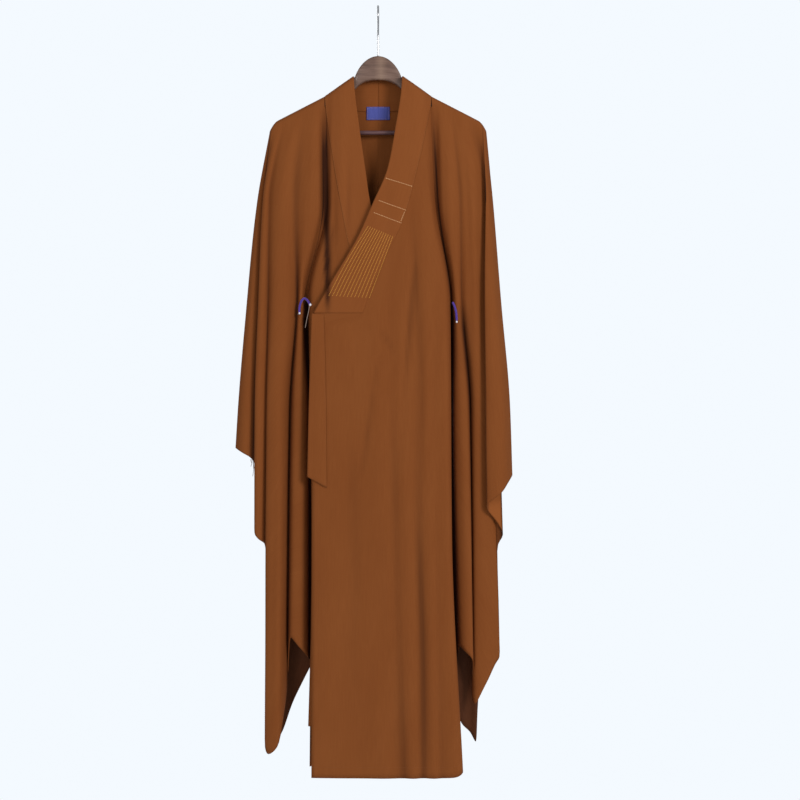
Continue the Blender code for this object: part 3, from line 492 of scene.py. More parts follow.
def bandSurface(frontEdges, frontSheet, backSheet):
    # from the lower end up the front, over the shoulder line and round to the centre back
    side = frontSheet["side"]
    turn = np.linspace(np.pi / 2, 0, 9)
    last = len(frontEdges) - 2
    over = last + 1 - shoulderSizes["roll"] * (1 - np.cos(turn)) / robe["rollRun"]
    frontAt = np.concatenate([np.arange(0, last, 0.08), np.linspace(last, over[0], 5)[:-1], over])
    backAt = np.concatenate([[0.01, 0.03, 0.06, 0.1, 0.16, 0.24, 0.35], np.arange(0.5, 4.01, 0.125)])
    across = np.linspace(0, 1, 27)
    parts = []
    for edges, at, sheet, sign in ((frontEdges, frontAt, frontSheet, 1),
                                   (bandBackEdges, backAt, backSheet, side)):
        knots = np.arange(len(edges))
        xIn, zIn, xOut, zOut = [along(knots, [row[n] for row in edges], at)[:, None] for n in range(4)]
        x = sign * (xIn + (xOut - xIn) * across)
        z = zIn + (zOut - zIn) * across
        parts.append(np.stack([x, sheetDepth(sheet, x, z), z], axis=-1))
    grid = np.concatenate(parts)
    grid[-1, :, 0] = side * robe["seam"] / 2
    return grid


def strapSurface(edges, sheet, lift):
    # a flat strap down the front, with a soft roll across and a slow sway down
    at = np.linspace(0, len(edges) - 1, 90)
    knots = np.arange(len(edges))
    xIn, zIn, xOut, zOut = [along(knots, [row[n] for row in edges], at)[:, None] for n in range(4)]
    across = np.linspace(0, 1, 15)
    x = xIn + (xOut - xIn) * across
    z = zIn + (zOut - zIn) * across
    sway = 0.5 * np.sin(at / 1.1)[:, None] + 0.5
    lift = (1.5 + (lift - 1.5) * np.clip(at / 0.4, 0, 1))[:, None]
    return np.stack([x, sheetDepth(sheet, x, z) - lift - sway * np.sin(np.pi * across), z], axis=-1)


def ringAlong(path, radius, sides=20):
    # a circle carried along a path, its ends closed by half balls; frame from a fixed side direction
    path = np.asarray(path, float)
    tangent = np.gradient(path, axis=0)
    tangent /= np.linalg.norm(tangent, axis=1, keepdims=True)
    flat = np.ptp(path, axis=0).argmin()
    helper = np.eye(3)[flat]
    u = np.cross(tangent, helper)
    u /= np.linalg.norm(u, axis=1, keepdims=True)
    v = np.cross(tangent, u)
    cap = np.linspace(0, np.pi / 2, 6)
    before = path[0] - tangent[0] * radius * np.cos(cap[:-1])[:, None]
    after = path[-1] + tangent[-1] * radius * np.sin(cap[1:])[:, None]
    line = np.concatenate([before, path, after])
    size = radius * np.concatenate([np.maximum(np.sin(cap[:-1]), 0.02), np.ones(len(path)),
                                    np.maximum(np.cos(cap[1:]), 0.02)])[:, None, None]
    u = np.concatenate([np.repeat(u[:1], 5, 0), u, np.repeat(u[-1:], 5, 0)])[:, None]
    v = np.concatenate([np.repeat(v[:1], 5, 0), v, np.repeat(v[-1:], 5, 0)])[:, None]
    angle = np.linspace(0, 2 * np.pi, sides, endpoint=False)[None, :, None]
    return line[:, None] + size * (np.cos(angle) * u + np.sin(angle) * v)


def smoothPath(points, step, passes):
    # points joined by straight lines, sampled evenly, then averaged with their neighbours
    points = np.asarray(points, float)
    run = np.concatenate([[0], np.cumsum(np.linalg.norm(np.diff(points, axis=0), axis=1))])
    at = np.linspace(0, run[-1], int(run[-1] / step) + 2)
    line = np.stack([np.interp(at, run, points[:, n]) for n in range(3)], axis=1)
    for _ in range(passes):
        line[1:-1] = line[1:-1] / 2 + (line[:-2] + line[2:]) / 4
    return line


def finishPiece(obj, nodes):
    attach(obj, "root")
    if nodes:
        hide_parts(*nodes)
    return obj


def addMesh(name, points, faces, material, uv=None):
    mesh = bpy.data.meshes.new(name)
    mesh.from_pydata((points.reshape(-1, 3) * mm).tolist(), [], faces.tolist())
    if uv is not None:
        loops = np.empty(len(mesh.loops), dtype=np.int32)
        mesh.loops.foreach_get("vertex_index", loops)
        layer = mesh.uv_layers.new(name="weave")
        layer.data.foreach_set("uv", uv.reshape(-1, 2)[loops].ravel().astype(np.float32))
    mesh.materials.append(material)
    mesh.shade_smooth()
    obj = bpy.data.objects.new(name, mesh)
    bpy.context.scene.collection.objects.link(obj)
    return obj


def gridFaces(rows, cols, closed=False):
    index = np.arange(rows * cols).reshape(rows, cols)
    if closed:
        index = np.concatenate([index, index[:, :1]], axis=1)
    return np.stack([index[:-1, :-1], index[1:, :-1], index[1:, 1:], index[:-1, 1:]], axis=-1).reshape(-1, 4)


def surfaceUv(grid):
    # metres along the cloth: the mean run of the columns across, of the rows down
    acrossStep = np.linalg.norm(np.diff(grid, axis=1), axis=-1)
    downStep = np.linalg.norm(np.diff(grid, axis=0), axis=-1)
    u = np.concatenate([np.zeros((grid.shape[0], 1)), np.cumsum(acrossStep, axis=1)], axis=1)
    v = np.concatenate([np.zeros((1, grid.shape[1])), np.cumsum(downStep, axis=0)], axis=0)
    return np.stack([u - u.mean(axis=1, keepdims=True), v], axis=-1) * mm


# painted shade in the sleeves' valleys: place counted in rows of the table, half width at the top and the low
# end, heights of the top and the low end, strength
paintedShadeValleys = {
    "sleeveRight": [(5.0, 0.55, 0.55, -500, -1300, 0.85), (14.0, 0.3, 0.3, -235, -935, 0.95),
                    (13.2, 0.3, 0.3, -960, -1075, 0.5)],
    "sleeveLeft": [(4.9, 1.15, 0.5, -600, -1400, 1.0), (12.85, 0.2, 0.2, -235, -1010, 0.95),
                   (10.5, 0.45, 0.45, -1060, -1150, 1.0)],
}
# the shaded inside of these rows gets a painted lit colour, where it faces the light
turnedRows = {"sleeveLeft": (11.0, 13.4, -940)}     # rows whose inside turns out to the light, below a height


def paintedShadeInHollows(grid, normals):
    # painted shade: how far a place lies inside the mean surface round it, from the nearer and the wider
    # neighbours; the cloth's colour is darkened by it
    total = 0
    for passes, reach, share in ((20, 3.0, 0.35), (110, 8.0, 0.6)):
        mean = grid.copy()
        for _ in range(passes):
            mean[:, 1:-1] = mean[:, 1:-1] / 2 + (mean[:, :-2] + mean[:, 2:]) / 4
        total = total + share * np.clip(((mean - grid) * normals).sum(axis=-1) / reach, 0, 1)
    # painted shade also in the deep valley beside the armhole, and on the walls that face the side opening
    x, z = grid[..., 0], grid[..., 2]
    seamX = np.where(x < 0, np.interp(-z, (225, 377, 447, 512, 590), (-109, -107, -105.5, -103, -102)),
                     np.interp(-z, (184, 400, 600), (110, 121, 150)))
    width = np.where(x < 0, np.interp(-z, (200, 380, 600), (6.0, 10.0, 6.0)), 3.4)
    fade = np.interp(-z, (190, 300, 600, 640), (0, 1, 1, 0)) * np.where(x < 0, 1.0, 0.75)
    valley = fade * np.exp(-((x - seamX) / width) ** 2) * (normals[..., 1] < 0.5)
    return np.clip(total + valley, 0, 1) ** 1.3


def repairMesh(mesh, distance=0.0, slim=0.0, fill=False, turn=True):
    # points that coincide joined, thin faces taken out, open ends closed, faces turned outward
    bm = bmesh.new()
    bm.from_mesh(mesh)
    if distance:
        bmesh.ops.remove_doubles(bm, verts=bm.verts, dist=distance * mm)
    if slim:
        bmesh.ops.dissolve_degenerate(bm, edges=bm.edges, dist=slim * mm)
    if fill:
        bmesh.ops.holes_fill(bm, edges=[e for e in bm.edges if e.is_boundary])
    if turn:
        bmesh.ops.recalc_face_normals(bm, faces=bm.faces)
    bm.to_mesh(mesh)
    bm.free()


def clothPiece(name, node, grid, wall, material, inside=None):
    # a thin wall on a surface, its faces turned to the side that its normals show
    normals = gridNormals(grid, None if "sleeve" not in name else (slice(40, None), slice(perRow, 3 * perRow)))
    faces = gridFaces(*grid.shape[:2])
    corners = grid.reshape(-1, 3)[faces]
    facing = np.cross(corners[:, 1] - corners[:, 0], corners[:, 3] - corners[:, 0])
    if (facing * normals.reshape(-1, 3)[faces[:, 0]]).sum() < 0:
        faces = faces[:, ::-1]
    if "back" in name:
        faces = faces[:, ::-1]
    obj = addMesh(name, grid, faces, material, surfaceUv(grid))
    # painted shade: how much the cloth's colour darkens, kept as an attribute on the points
    paintedShade = paintedShadeInHollows(grid, -normals if "back" in name else normals)
    row, z = np.arange(grid.shape[1]) / perRow, grid[..., 2]
    # painted shade along the listed sleeve valleys
    for at, widthTop, widthLow, top, low, strength in paintedShadeValleys.get(name, ()):
        reach = np.clip(np.minimum(top - z, z - low + 60) / 60, 0, 1)
        width = widthTop + (widthLow - widthTop) * np.clip((top - z) / 250, 0, 1)
        paintedShade = np.maximum(paintedShade, strength * reach * np.exp(-((row - at) / width) ** 2))
    # painted shade on the sleeve's wall at the side opening, below the underarm
    if "sleeve" in name:
        wider = np.interp(-z, (600, 640, 720, 860), (0, 0.9, 0.75, 0))
        below = np.clip((robe["arm"] + 20 - z) / 30, 0, 1)
        paintedShade = np.maximum(paintedShade, np.clip(2.1 + wider - row, 0, 1) * below)
    mark = obj.data.attributes.new("paintedShade", "FLOAT", "POINT")
    mark.data.foreach_set("value", paintedShade.ravel().astype(np.float32))
    # rows where the darker inside copy gives way to a painted lit colour
    first, last, below = turnedRows.get(name, (0.0, 0.0, 0.0))
    turned = obj.data.attributes.new("turned", "FLOAT", "POINT")
    turned.data.foreach_set("value", ((row > first) & (row < last) & (z < below)).ravel().astype(np.float32))
    # the inside face of the wall takes a darker copy of the cloth: painted shade
    if inside is not None:
        obj.data.materials.append(inside)
    repairMesh(obj.data, 0.03, slim=0.01, turn=False)
    shell = obj.modifiers.new("wall", "SOLIDIFY")
    shell.thickness = wall * mm
    shell.offset = 0.0
    shell.solidify_mode = "NON_MANIFOLD"
    shell.nonmanifold_thickness_mode = "FIXED"
    shell.material_offset = 1 if inside is not None else 0
    finishPiece(obj, [node])
    size = np.linalg.norm(facing, axis=1).sum() * mm * mm
    print(name, "cloth area %.3f m2" % size)
    return normals


def stitches(name, runs, material, length, gap, width, height):
    # a stitch is a long lozenge with eight faces, laid every length + gap along each run
    allPoints = []
    for points, normals in runs:
        run = np.concatenate([[0], np.cumsum(np.linalg.norm(np.diff(points, axis=0), axis=1))])
        count = int(run[-1] / (length + gap))
        if count < 1:
            continue
        middle = (np.arange(count) + 0.5) * run[-1] / count

        def place(at, table):
            return np.stack([np.interp(at, run, table[:, n]) for n in range(3)], axis=1)

        a, b, c = place(middle - length / 2, points), place(middle + length / 2, points), place(middle, points)
        out = place(middle, normals)
        out /= np.linalg.norm(out, axis=1, keepdims=True)
        sideways = np.cross(b - a, out)
        sideways *= width / 2 / np.linalg.norm(sideways, axis=1, keepdims=True)
        corners = [a, b, c + sideways, c - sideways, c + out * height, c - out * height]
        allPoints.append(np.stack(corners, axis=1))
    points = np.concatenate(allPoints)
    shape = np.array([(0, 2, 4), (2, 1, 4), (1, 3, 4), (3, 0, 4), (2, 0, 5), (1, 2, 5), (3, 1, 5), (0, 3, 5)])
    faces = (shape[None] + 6 * np.arange(len(points))[:, None, None]).reshape(-1, 3)
    obj = addMesh(name, points, faces, material)
    repairMesh(obj.data)
    return finishPiece(obj, [])


def seamLine(grid, normals, up, lift):
    # the line across a surface at a distance above its hem, lifted off the cloth
    steps = np.linalg.norm(np.diff(grid, axis=0), axis=-1)[::-1]
    run = np.concatenate([np.zeros((1, grid.shape[1])), np.cumsum(steps, axis=0)])
    cell = np.clip((run <= up).sum(axis=0) - 1, 0, len(steps) - 1)
    columns = np.arange(grid.shape[1])
    t = ((up - run[cell, columns]) / np.maximum(run[cell + 1, columns] - run[cell, columns], 1e-9))[:, None]
    back = len(grid) - 1 - cell
    points = grid[back, columns] * (1 - t) + grid[back - 1, columns] * t
    outward = normals[back, columns]
    return points + outward * lift, outward


def onSheet(sheet, x, z, lift):
    # points on the front of a sheet at x and z, with its normals from its slopes
    y = sheetDepth(sheet, x, z)
    slopeX = (sheetDepth(sheet, x + 1, z) - sheetDepth(sheet, x - 1, z)) / 2
    slopeZ = (sheetDepth(sheet, x, z + 1) - sheetDepth(sheet, x, z - 1)) / 2
    out = np.stack([slopeX, -np.ones_like(x), slopeZ], axis=1)
    out /= np.linalg.norm(out, axis=1, keepdims=True)
    return np.stack([x, y, z], axis=1) + out * lift, out


def newMaterial(name, look):
    # an empty Principled material with its uniform values on the shader's own sockets
    material = bpy.data.materials.new(name)
    material.use_nodes = True
    nodes, links = material.node_tree.nodes, material.node_tree.links
    shader = nodes["Principled BSDF"]
    shader.inputs["Roughness"].default_value = look["roughness"]
    shader.inputs["Metallic"].default_value = look.get("metallic", 0.0)
    shader.inputs["Specular IOR Level"].default_value = look.get("specular", 0.5)
    shader.inputs["Sheen Weight"].default_value = look.get("sheen", 0.0)
    shader.inputs["Sheen Roughness"].default_value = 0.5
    shader.inputs["Coat Weight"].default_value = look.get("coat", 0.0)
    return material, nodes, links, shader


def ramp(nodes, links, value, stops):
    node = nodes.new("ShaderNodeValToRGB")
    while len(node.color_ramp.elements) < len(stops):
        node.color_ramp.elements.new(0.5)
    for element, (place, color) in zip(node.color_ramp.elements, stops):
        element.position = place
        element.color = (*color, 1.0)
    links.new(value, node.inputs["Fac"])
    return node.outputs["Color"]


def noise(nodes, links, vector, scale, detail=3.0, stretch=(1, 1, 1)):
    mapping = nodes.new("ShaderNodeMapping")
    mapping.inputs["Scale"].default_value = stretch
    texture = nodes.new("ShaderNodeTexNoise")
    texture.inputs["Scale"].default_value = scale
    texture.inputs["Detail"].default_value = detail
    links.new(vector, mapping.inputs["Vector"])
    links.new(mapping.outputs["Vector"], texture.inputs["Vector"])
    return texture.outputs["Fac"]


def bands(nodes, links, vector, period, direction):
    texture = nodes.new("ShaderNodeTexWave")
    texture.bands_direction = direction
    texture.inputs["Scale"].default_value = 0.31416 / period
    texture.inputs["Distortion"].default_value = 0.6
    texture.inputs["Detail Scale"].default_value = 1.5
    links.new(vector, texture.inputs["Vector"])
    return texture.outputs["Fac"]


def mathNode(nodes, links, operation, a, b):
    node = nodes.new("ShaderNodeMath")
    node.operation = operation
    for socket, value in zip(node.inputs, (a, b)):
        if isinstance(value, float):
            socket.default_value = value
        else:
            links.new(value, socket)
    return node.outputs["Value"]


def bump(nodes, links, shader, height, strength, depth):
    node = nodes.new("ShaderNodeBump")
    node.inputs["Strength"].default_value = strength
    node.inputs["Distance"].default_value = depth
    links.new(height, node.inputs["Height"])
    links.new(node.outputs["Normal"], shader.inputs["Normal"])


def wovenMaterial(name, look):
    # warp and weft as two sets of ridges, slubs along the warp, slow colour clouds, and painted shade in the
    # hollows
    material, nodes, links, shader = newMaterial(name, look)
    weave = nodes.new("ShaderNodeUVMap")
    weave.uv_map = "weave"
    uv = weave.outputs["UV"]
    clouds = noise(nodes, links, uv, 9.0, 4.0, (1.0, 0.45, 1.0))
    slubs = noise(nodes, links, uv, 60.0, 3.0, (9.0, 0.35, 1.0))
    mixed = mathNode(nodes, links, "ADD", mathNode(nodes, links, "MULTIPLY", clouds, 0.6),
                     mathNode(nodes, links, "MULTIPLY", slubs, 0.4))
    color = ramp(nodes, links, mixed, [(0.36, look["dark"]), (0.5, look["color"]), (0.64, look["light"])])
    # painted shade: the colour darkens towards the deep colour by the shade attribute made for each piece
    paintedShade = nodes.new("ShaderNodeAttribute")
    paintedShade.attribute_name = "paintedShade"
    deep = nodes.new("ShaderNodeMix")
    deep.data_type = "RGBA"
    links.new(mathNode(nodes, links, "MULTIPLY", paintedShade.outputs["Fac"], look["paintedShadeStrength"]), deep.inputs["Factor"])
    # painted light: a lit colour on the turned rows of the inside
    if "turned" in look:
        turned = nodes.new("ShaderNodeAttribute")
        turned.attribute_name = "turned"
        lit = nodes.new("ShaderNodeMix")
        lit.data_type = "RGBA"
        links.new(turned.outputs["Fac"], lit.inputs["Factor"])
        links.new(color, lit.inputs["A"])
        lit.inputs["B"].default_value = (*look["turned"], 1.0)
        color = lit.outputs["Result"]
    links.new(color, deep.inputs["A"])
    deep.inputs["B"].default_value = (*look["deep"], 1.0)
    links.new(deep.outputs["Result"], shader.inputs["Base Color"])
    warp = bands(nodes, links, uv, look["thread"], "X")
    weft = bands(nodes, links, uv, look["thread"], "Y")
    threadsHeight = mathNode(nodes, links, "MULTIPLY", warp, weft)
    height = mathNode(nodes, links, "ADD", threadsHeight, mathNode(nodes, links, "MULTIPLY", slubs, 1.2))
    bump(nodes, links, shader, height, look["bump"], 0.0003)
    return material


# deep is the colour of the painted shade in hollows; the strength beside it sets how far it goes
clothLook = dict(color=(0.236, 0.068, 0.0150), dark=(0.222, 0.062, 0.0132), light=(0.252, 0.075, 0.0172),
                 deep=(0.022, 0.005, 0.002), paintedShadeStrength=0.92, roughness=0.88, sheen=0.0, specular=0.15,
                 thread=0.0011, bump=0.35)
bandLook = dict(clothLook, color=(0.252, 0.073, 0.0165), dark=(0.238, 0.067, 0.0148),
                light=(0.268, 0.080, 0.0188))
# a darker copy of the cloth for the sleeves' inside faces: painted shade
shadedInsideLook = dict(clothLook, color=(0.085, 0.026, 0.009), dark=(0.070, 0.020, 0.007),
                  light=(0.10, 0.032, 0.012), turned=(0.30, 0.088, 0.020))
# the label's hollows also take a painted shade
patchLook = dict(color=(0.070, 0.085, 0.37), dark=(0.050, 0.062, 0.29), light=(0.095, 0.115, 0.45),
                 deep=(0.02, 0.02, 0.08), paintedShadeStrength=0.5, roughness=0.6, sheen=0.2, specular=0.4, thread=0.0008,
                 bump=0.5)
woodLook = dict(color=(0.165, 0.088, 0.060), dark=(0.085, 0.040, 0.026), light=(0.23, 0.135, 0.098),
                roughness=0.36, specular=0.5, coat=0.25, grain=22.0)
barLook = dict(color=(0.110, 0.045, 0.046), dark=(0.060, 0.024, 0.026), light=(0.150, 0.070, 0.070),
               roughness=0.45, specular=0.5, grain=30.0)
wireLook = dict(color=(0.62, 0.62, 0.63), roughness=0.24, metallic=1.0)
cordLook = dict(color=(0.075, 0.018, 0.36), dark=(0.030, 0.008, 0.16), light=(0.14, 0.05, 0.52),
                roughness=0.5, sheen=0.4, specular=0.4)
seamThreadLook = dict(color=(0.27, 0.085, 0.024), roughness=0.7)
# pale line along the bands' outer seams: a painted highlight on the seam ridge
seamHighlightLook = dict(color=(0.42, 0.15, 0.045), roughness=0.8, specular=0.1)
creamThreadLook = dict(color=(0.95, 0.50, 0.24), roughness=0.7, specular=0.2)
goldThreadLook = dict(color=(0.80, 0.36, 0.065), roughness=0.6, specular=0.2)
whiteThreadLook = dict(color=(0.85, 0.82, 0.86), roughness=0.5)
greyThreadLook = dict(color=(0.30, 0.22, 0.18), roughness=0.6)
darkThreadLook = dict(color=(0.10, 0.030, 0.010), roughness=0.7)


def threadMaterial(name, look):
    # spun thread: fine noise in the colour and a twist in the bump
    material, nodes, links, shader = newMaterial(name, look)
    coordinates = nodes.new("ShaderNodeTexCoord").outputs["Object"]
    value = noise(nodes, links, coordinates, 700.0, 2.0)
    color = np.array(look["color"])
    stops = [(0.35, tuple(color * 0.8)), (0.65, tuple(np.minimum(color * 1.15, 1)))]
    links.new(ramp(nodes, links, value, stops), shader.inputs["Base Color"])
    bump(nodes, links, shader, value, 0.3, 0.0002)
    return material


def woodMaterial(name, look, paintedCentreHighlight=False):
    # long grain along X, finer pores over it, and a paler soft band in the middle of the neck: a painted
    # highlight by the glued joint
    material, nodes, links, shader = newMaterial(name, look)
    coordinates = nodes.new("ShaderNodeTexCoord").outputs["Object"]
    grain = noise(nodes, links, coordinates, look["grain"], 6.0, (0.7, 3.0, 4.5))
    pores = noise(nodes, links, coordinates, 190.0, 3.0, (0.25, 2.0, 3.0))
    mixed = mathNode(nodes, links, "ADD", mathNode(nodes, links, "MULTIPLY", grain, 0.65),
                     mathNode(nodes, links, "MULTIPLY", pores, 0.35))
    color = ramp(nodes, links, mixed, [(0.34, look["dark"]), (0.5, look["color"]), (0.68, look["light"])])
    # painted highlight: a paler soft band just beside the middle of the neck
    if paintedCentreHighlight:
        split = nodes.new("ShaderNodeSeparateXYZ")
        links.new(coordinates, split.inputs["Vector"])
        offset = mathNode(nodes, links, "SUBTRACT", split.outputs["X"], 0.006)
        away = mathNode(nodes, links, "ABSOLUTE", offset, 0.0)
        near = mathNode(nodes, links, "SUBTRACT", 1.0, mathNode(nodes, links, "MULTIPLY", away, 70.0))
        pale = mathNode(nodes, links, "MAXIMUM", mathNode(nodes, links, "MULTIPLY", near, 0.45), 0.0)
        mix = nodes.new("ShaderNodeMix")
        mix.data_type = "RGBA"
        links.new(pale, mix.inputs["Factor"])
        links.new(color, mix.inputs["A"])
        mix.inputs["B"].default_value = (0.36, 0.225, 0.150, 1.0)
        color = mix.outputs["Result"]
    links.new(color, shader.inputs["Base Color"])
    bump(nodes, links, shader, pores, 0.25, 0.0004)
    return material


def cordMaterial(name, look):
    # plaited cord: two slanting sets of ridges along its own UV
    material, nodes, links, shader = newMaterial(name, look)
    plait = nodes.new("ShaderNodeUVMap")
    plait.uv_map = "weave"
    mapping = nodes.new("ShaderNodeMapping")
    mapping.inputs["Rotation"].default_value = (0.0, 0.0, 0.8)
    links.new(plait.outputs["UV"], mapping.inputs["Vector"])
    ridges = bands(nodes, links, mapping.outputs["Vector"], 0.0016, "X")
    links.new(ramp(nodes, links, ridges, [(0.1, look["dark"]), (0.6, look["color"]), (1.0, look["light"])]),
              shader.inputs["Base Color"])
    bump(nodes, links, shader, ridges, 0.6, 0.0005)
    return material


def wireMaterial(name, look):
    material, nodes, links, shader = newMaterial(name, look)
    coordinates = nodes.new("ShaderNodeTexCoord").outputs["Object"]
    value = noise(nodes, links, coordinates, 300.0, 3.0, (1.0, 1.0, 0.2))
    color = np.array(look["color"])
    links.new(ramp(nodes, links, value, [(0.3, tuple(color * 0.8)), (0.7, tuple(color * 1.2))]),
              shader.inputs["Base Color"])
    bump(nodes, links, shader, value, 0.08, 0.0002)
    return material


cloth = wovenMaterial("rustCloth", clothLook)
bandCloth = wovenMaterial("rustBandCloth", bandLook)
shadedInsideCloth = wovenMaterial("rustClothInsidePaintedShade", shadedInsideLook)
blueCloth = wovenMaterial("bluePatchCloth", patchLook)
neckWood = woodMaterial("stainedWood", woodLook, paintedCentreHighlight=True)
barWood = woodMaterial("plumStainedBar", barLook)
brightWire = wireMaterial("brightWire", wireLook)
purpleCord = cordMaterial("purpleCord", cordLook)
seamThread = threadMaterial("seamThread", seamThreadLook)
paintedSeamHighlight = threadMaterial("paintedSeamHighlight", seamHighlightLook)
creamThread = threadMaterial("creamThread", creamThreadLook)
goldThread = threadMaterial("goldThread", goldThreadLook)
whiteThread = threadMaterial("whiteThread", whiteThreadLook)
greyThread = threadMaterial("greyThread", greyThreadLook)
frayedThread = threadMaterial("frayedThread", darkThreadLook)
print("materials made")

# the sheets, then the pieces cut from them
leftSheet = panelSheet(frontLeftFolds, frontLeftCreases, 0.4)
rightSheet = panelSheet(frontRightFolds, frontRightCreases, 1.9)
backLeftSheet = panelSheet(backLeftFolds, backCreases, 3.1)
backRightSheet = panelSheet(backRightFolds, backCreases, 4.4)
surfaces = {
    "sleeveLeft": sleeveSurface(sleeveLeftFront, sleeveLeftBack, sleeveLeftCreases, 0.9),
    "sleeveRight": sleeveSurface(sleeveRightFront, sleeveRightBack, sleeveRightCreases, 2.6),
    "frontLeft": frontSurface(leftSheet, sleeveLeftFront[0], bandLeftEdges),
    "frontRight": frontSurface(rightSheet, sleeveRightFront[0], bandRightEdges),
    "backLeft": backSurface(backLeftSheet, sleeveLeftBack[-1]),
    "backRight": backSurface(backRightSheet, sleeveRightBack[-1]),
    "collarLeft": bandSurface(bandLeftEdges, leftSheet, backLeftSheet),
    "collarRight": bandSurface(bandRightEdges, rightSheet, backRightSheet),
}
print("surfaces worked out")

# piece, node, wall, size it was cut to in metres, and the area where the cut isn't a rectangle
cuts = [
    ("sleeveLeft", "sleeve_left", robe["cloth"], cloth, (0.42, 1.33), 0.39),
    ("sleeveRight", "sleeve_right", robe["cloth"], cloth, (0.43, 1.35), 0.40),
    ("frontLeft", "front_left", robe["cloth"], cloth, (0.33, 1.38), 0.35),
    ("frontRight", "front_right", robe["cloth"], cloth, (0.25, 1.28), 0.23),
    ("backLeft", "back_left", robe["cloth"], cloth, (0.19, 1.36), 0.225),
    ("backRight", "back_right", robe["cloth"], cloth, (0.18, 1.36), 0.21),
    ("collarLeft", "collar_left", robe["band"], bandCloth, (0.075, 0.70), 0.042),
    ("collarRight", "collar_right", robe["band"], bandCloth, (0.075, 0.66), 0.041),
]
normalsOf = {}
for name, node, wall, material, flat, area in cuts:
    # the sleeves' inside faces are painted darker, as shade
    inside = shadedInsideCloth if "sleeve" in name else None
    normalsOf[name] = clothPiece(name, node, surfaces[name], wall, material, inside)

tieSizes = dict(lift=2.6, wall=1.3, flat=(0.034, 0.335))
tieGrid = strapSurface(tieEdges, leftSheet, tieSizes["lift"])
clothPiece("frontTie", "tie_outer", tieGrid, tieSizes["wall"], cloth)
print("cloth pieces made")

# plain patch inside the back neck, woven, with a pale stitched edge
patchSizes = dict(halfWidth=24.0, top=-202.0, low=-229.0, wall=0.8, gap=0.7, flat=(0.048, 0.027), inset=2.0)


def patchDepth(x, z):
    # the inside of the collar's back, on whichever side x is
    y = np.where(x > 0, sheetDepth(backLeftSheet, np.abs(x), z), sheetDepth(backRightSheet, -np.abs(x), z))
    return y - (robe["band"] + patchSizes["wall"]) / 2 - patchSizes["gap"]


s = patchSizes
patchX, patchZ = np.meshgrid(np.linspace(-s["halfWidth"], s["halfWidth"], 33),
                             np.linspace(s["top"], s["low"], 19))
patchGrid = np.stack([patchX, patchDepth(patchX, patchZ), patchZ], axis=-1)
clothPiece("neckPatch", "neck_label", patchGrid, s["wall"], blueCloth)
inX, inTop, inLow = s["halfWidth"] - s["inset"], s["top"] - s["inset"], s["low"] + s["inset"]
edgeX = np.interp(np.linspace(0, 4, 161), range(5), (-inX, inX, inX, -inX, -inX))
edgeZ = np.interp(np.linspace(0, 4, 161), range(5), (inTop, inTop, inLow, inLow, inTop))
edgeLine = np.stack([edgeX, patchDepth(edgeX, edgeZ) - s["wall"] / 2 - 0.05, edgeZ], axis=1)
edgeNormals = np.tile((0.0, -1.0, 0.0), (161, 1))
stitches("patchEdge", [(edgeLine, edgeNormals)], creamThread, 2.2, 0.7, 0.5, 0.25)

# stitching on the outer collar band: cream lines across it, then rows of gold stitches along it
bandStitching = dict(
    creamLines=[((15.4, -355.3), (70.5, -372.3)), ((1.2, -401.0), (57.8, -421.3)),
                ((-8.6, -426.0), (48.4, -447.5))],
    goldTop=((-19.1, -453.0), (30.3, -474.4)), goldLow=((-100.0, -596.0), (-17.5, -600.5)), goldRows=12)
lift = robe["band"] / 2 + 0.1


def sheetLine(sheet, start, end, lift, bow=0.0, count=60):
    # a line between two places of a sheet, bowed sideways by half a sine
    t = np.linspace(0, 1, count)
    x = start[0] + (end[0] - start[0]) * t
    z = start[1] + (end[1] - start[1]) * t
    return onSheet(sheet, x + bow * np.sin(np.pi * t), z, lift)


creamRuns = [sheetLine(leftSheet, a, b, lift) for a, b in bandStitching["creamLines"]]
creamRuns.append(sheetLine(leftSheet, (54.5, -424.0), (46.5, -444.0), lift))
stitches("creamStitches", creamRuns, creamThread, 3.4, 0.1, 2.0, 0.5)
goldRuns = []
for part in np.linspace(0, 1, bandStitching["goldRows"]):
    (ax, az), (bx, bz) = bandStitching["goldTop"]
    (cx, cz), (dx, dz) = bandStitching["goldLow"]
    goldRuns.append(sheetLine(leftSheet, (ax + (bx - ax) * part, az + (bz - az) * part),
                              (cx + (dx - cx) * part, cz + (dz - cz) * part), lift, -3.0 * (1 - part)))
stitches("goldStitches", goldRuns, goldThread, 3.2, 0.1, 1.9, 0.5)


def bandSeamRun(edges, sheet, start, inset, lift):
    # along a band, beside its outer edge, from a place on it to the shoulder
    at = np.linspace(start, len(edges) - 1.02, 220)
    knots = np.arange(len(edges))
    xIn, zIn, xOut, zOut = [along(knots, [row[n] for row in edges], at) for n in range(4)]
    reach = np.hypot(xOut - xIn, zOut - zIn)
    return onSheet(sheet, xOut - (xOut - xIn) / reach * inset, zOut - (zOut - zIn) / reach * inset, lift)


# pale stitches along the bands' outer edges: a painted highlight on the seam ridge
seamRuns = [bandSeamRun(bandLeftEdges, leftSheet, 3.0, 1.2, lift),
            bandSeamRun(bandRightEdges, rightSheet, 1.5, 1.2, lift)]
stitches("bandSeamHighlights", seamRuns, paintedSeamHighlight, 3.4, 0.4, 1.5, 0.35)

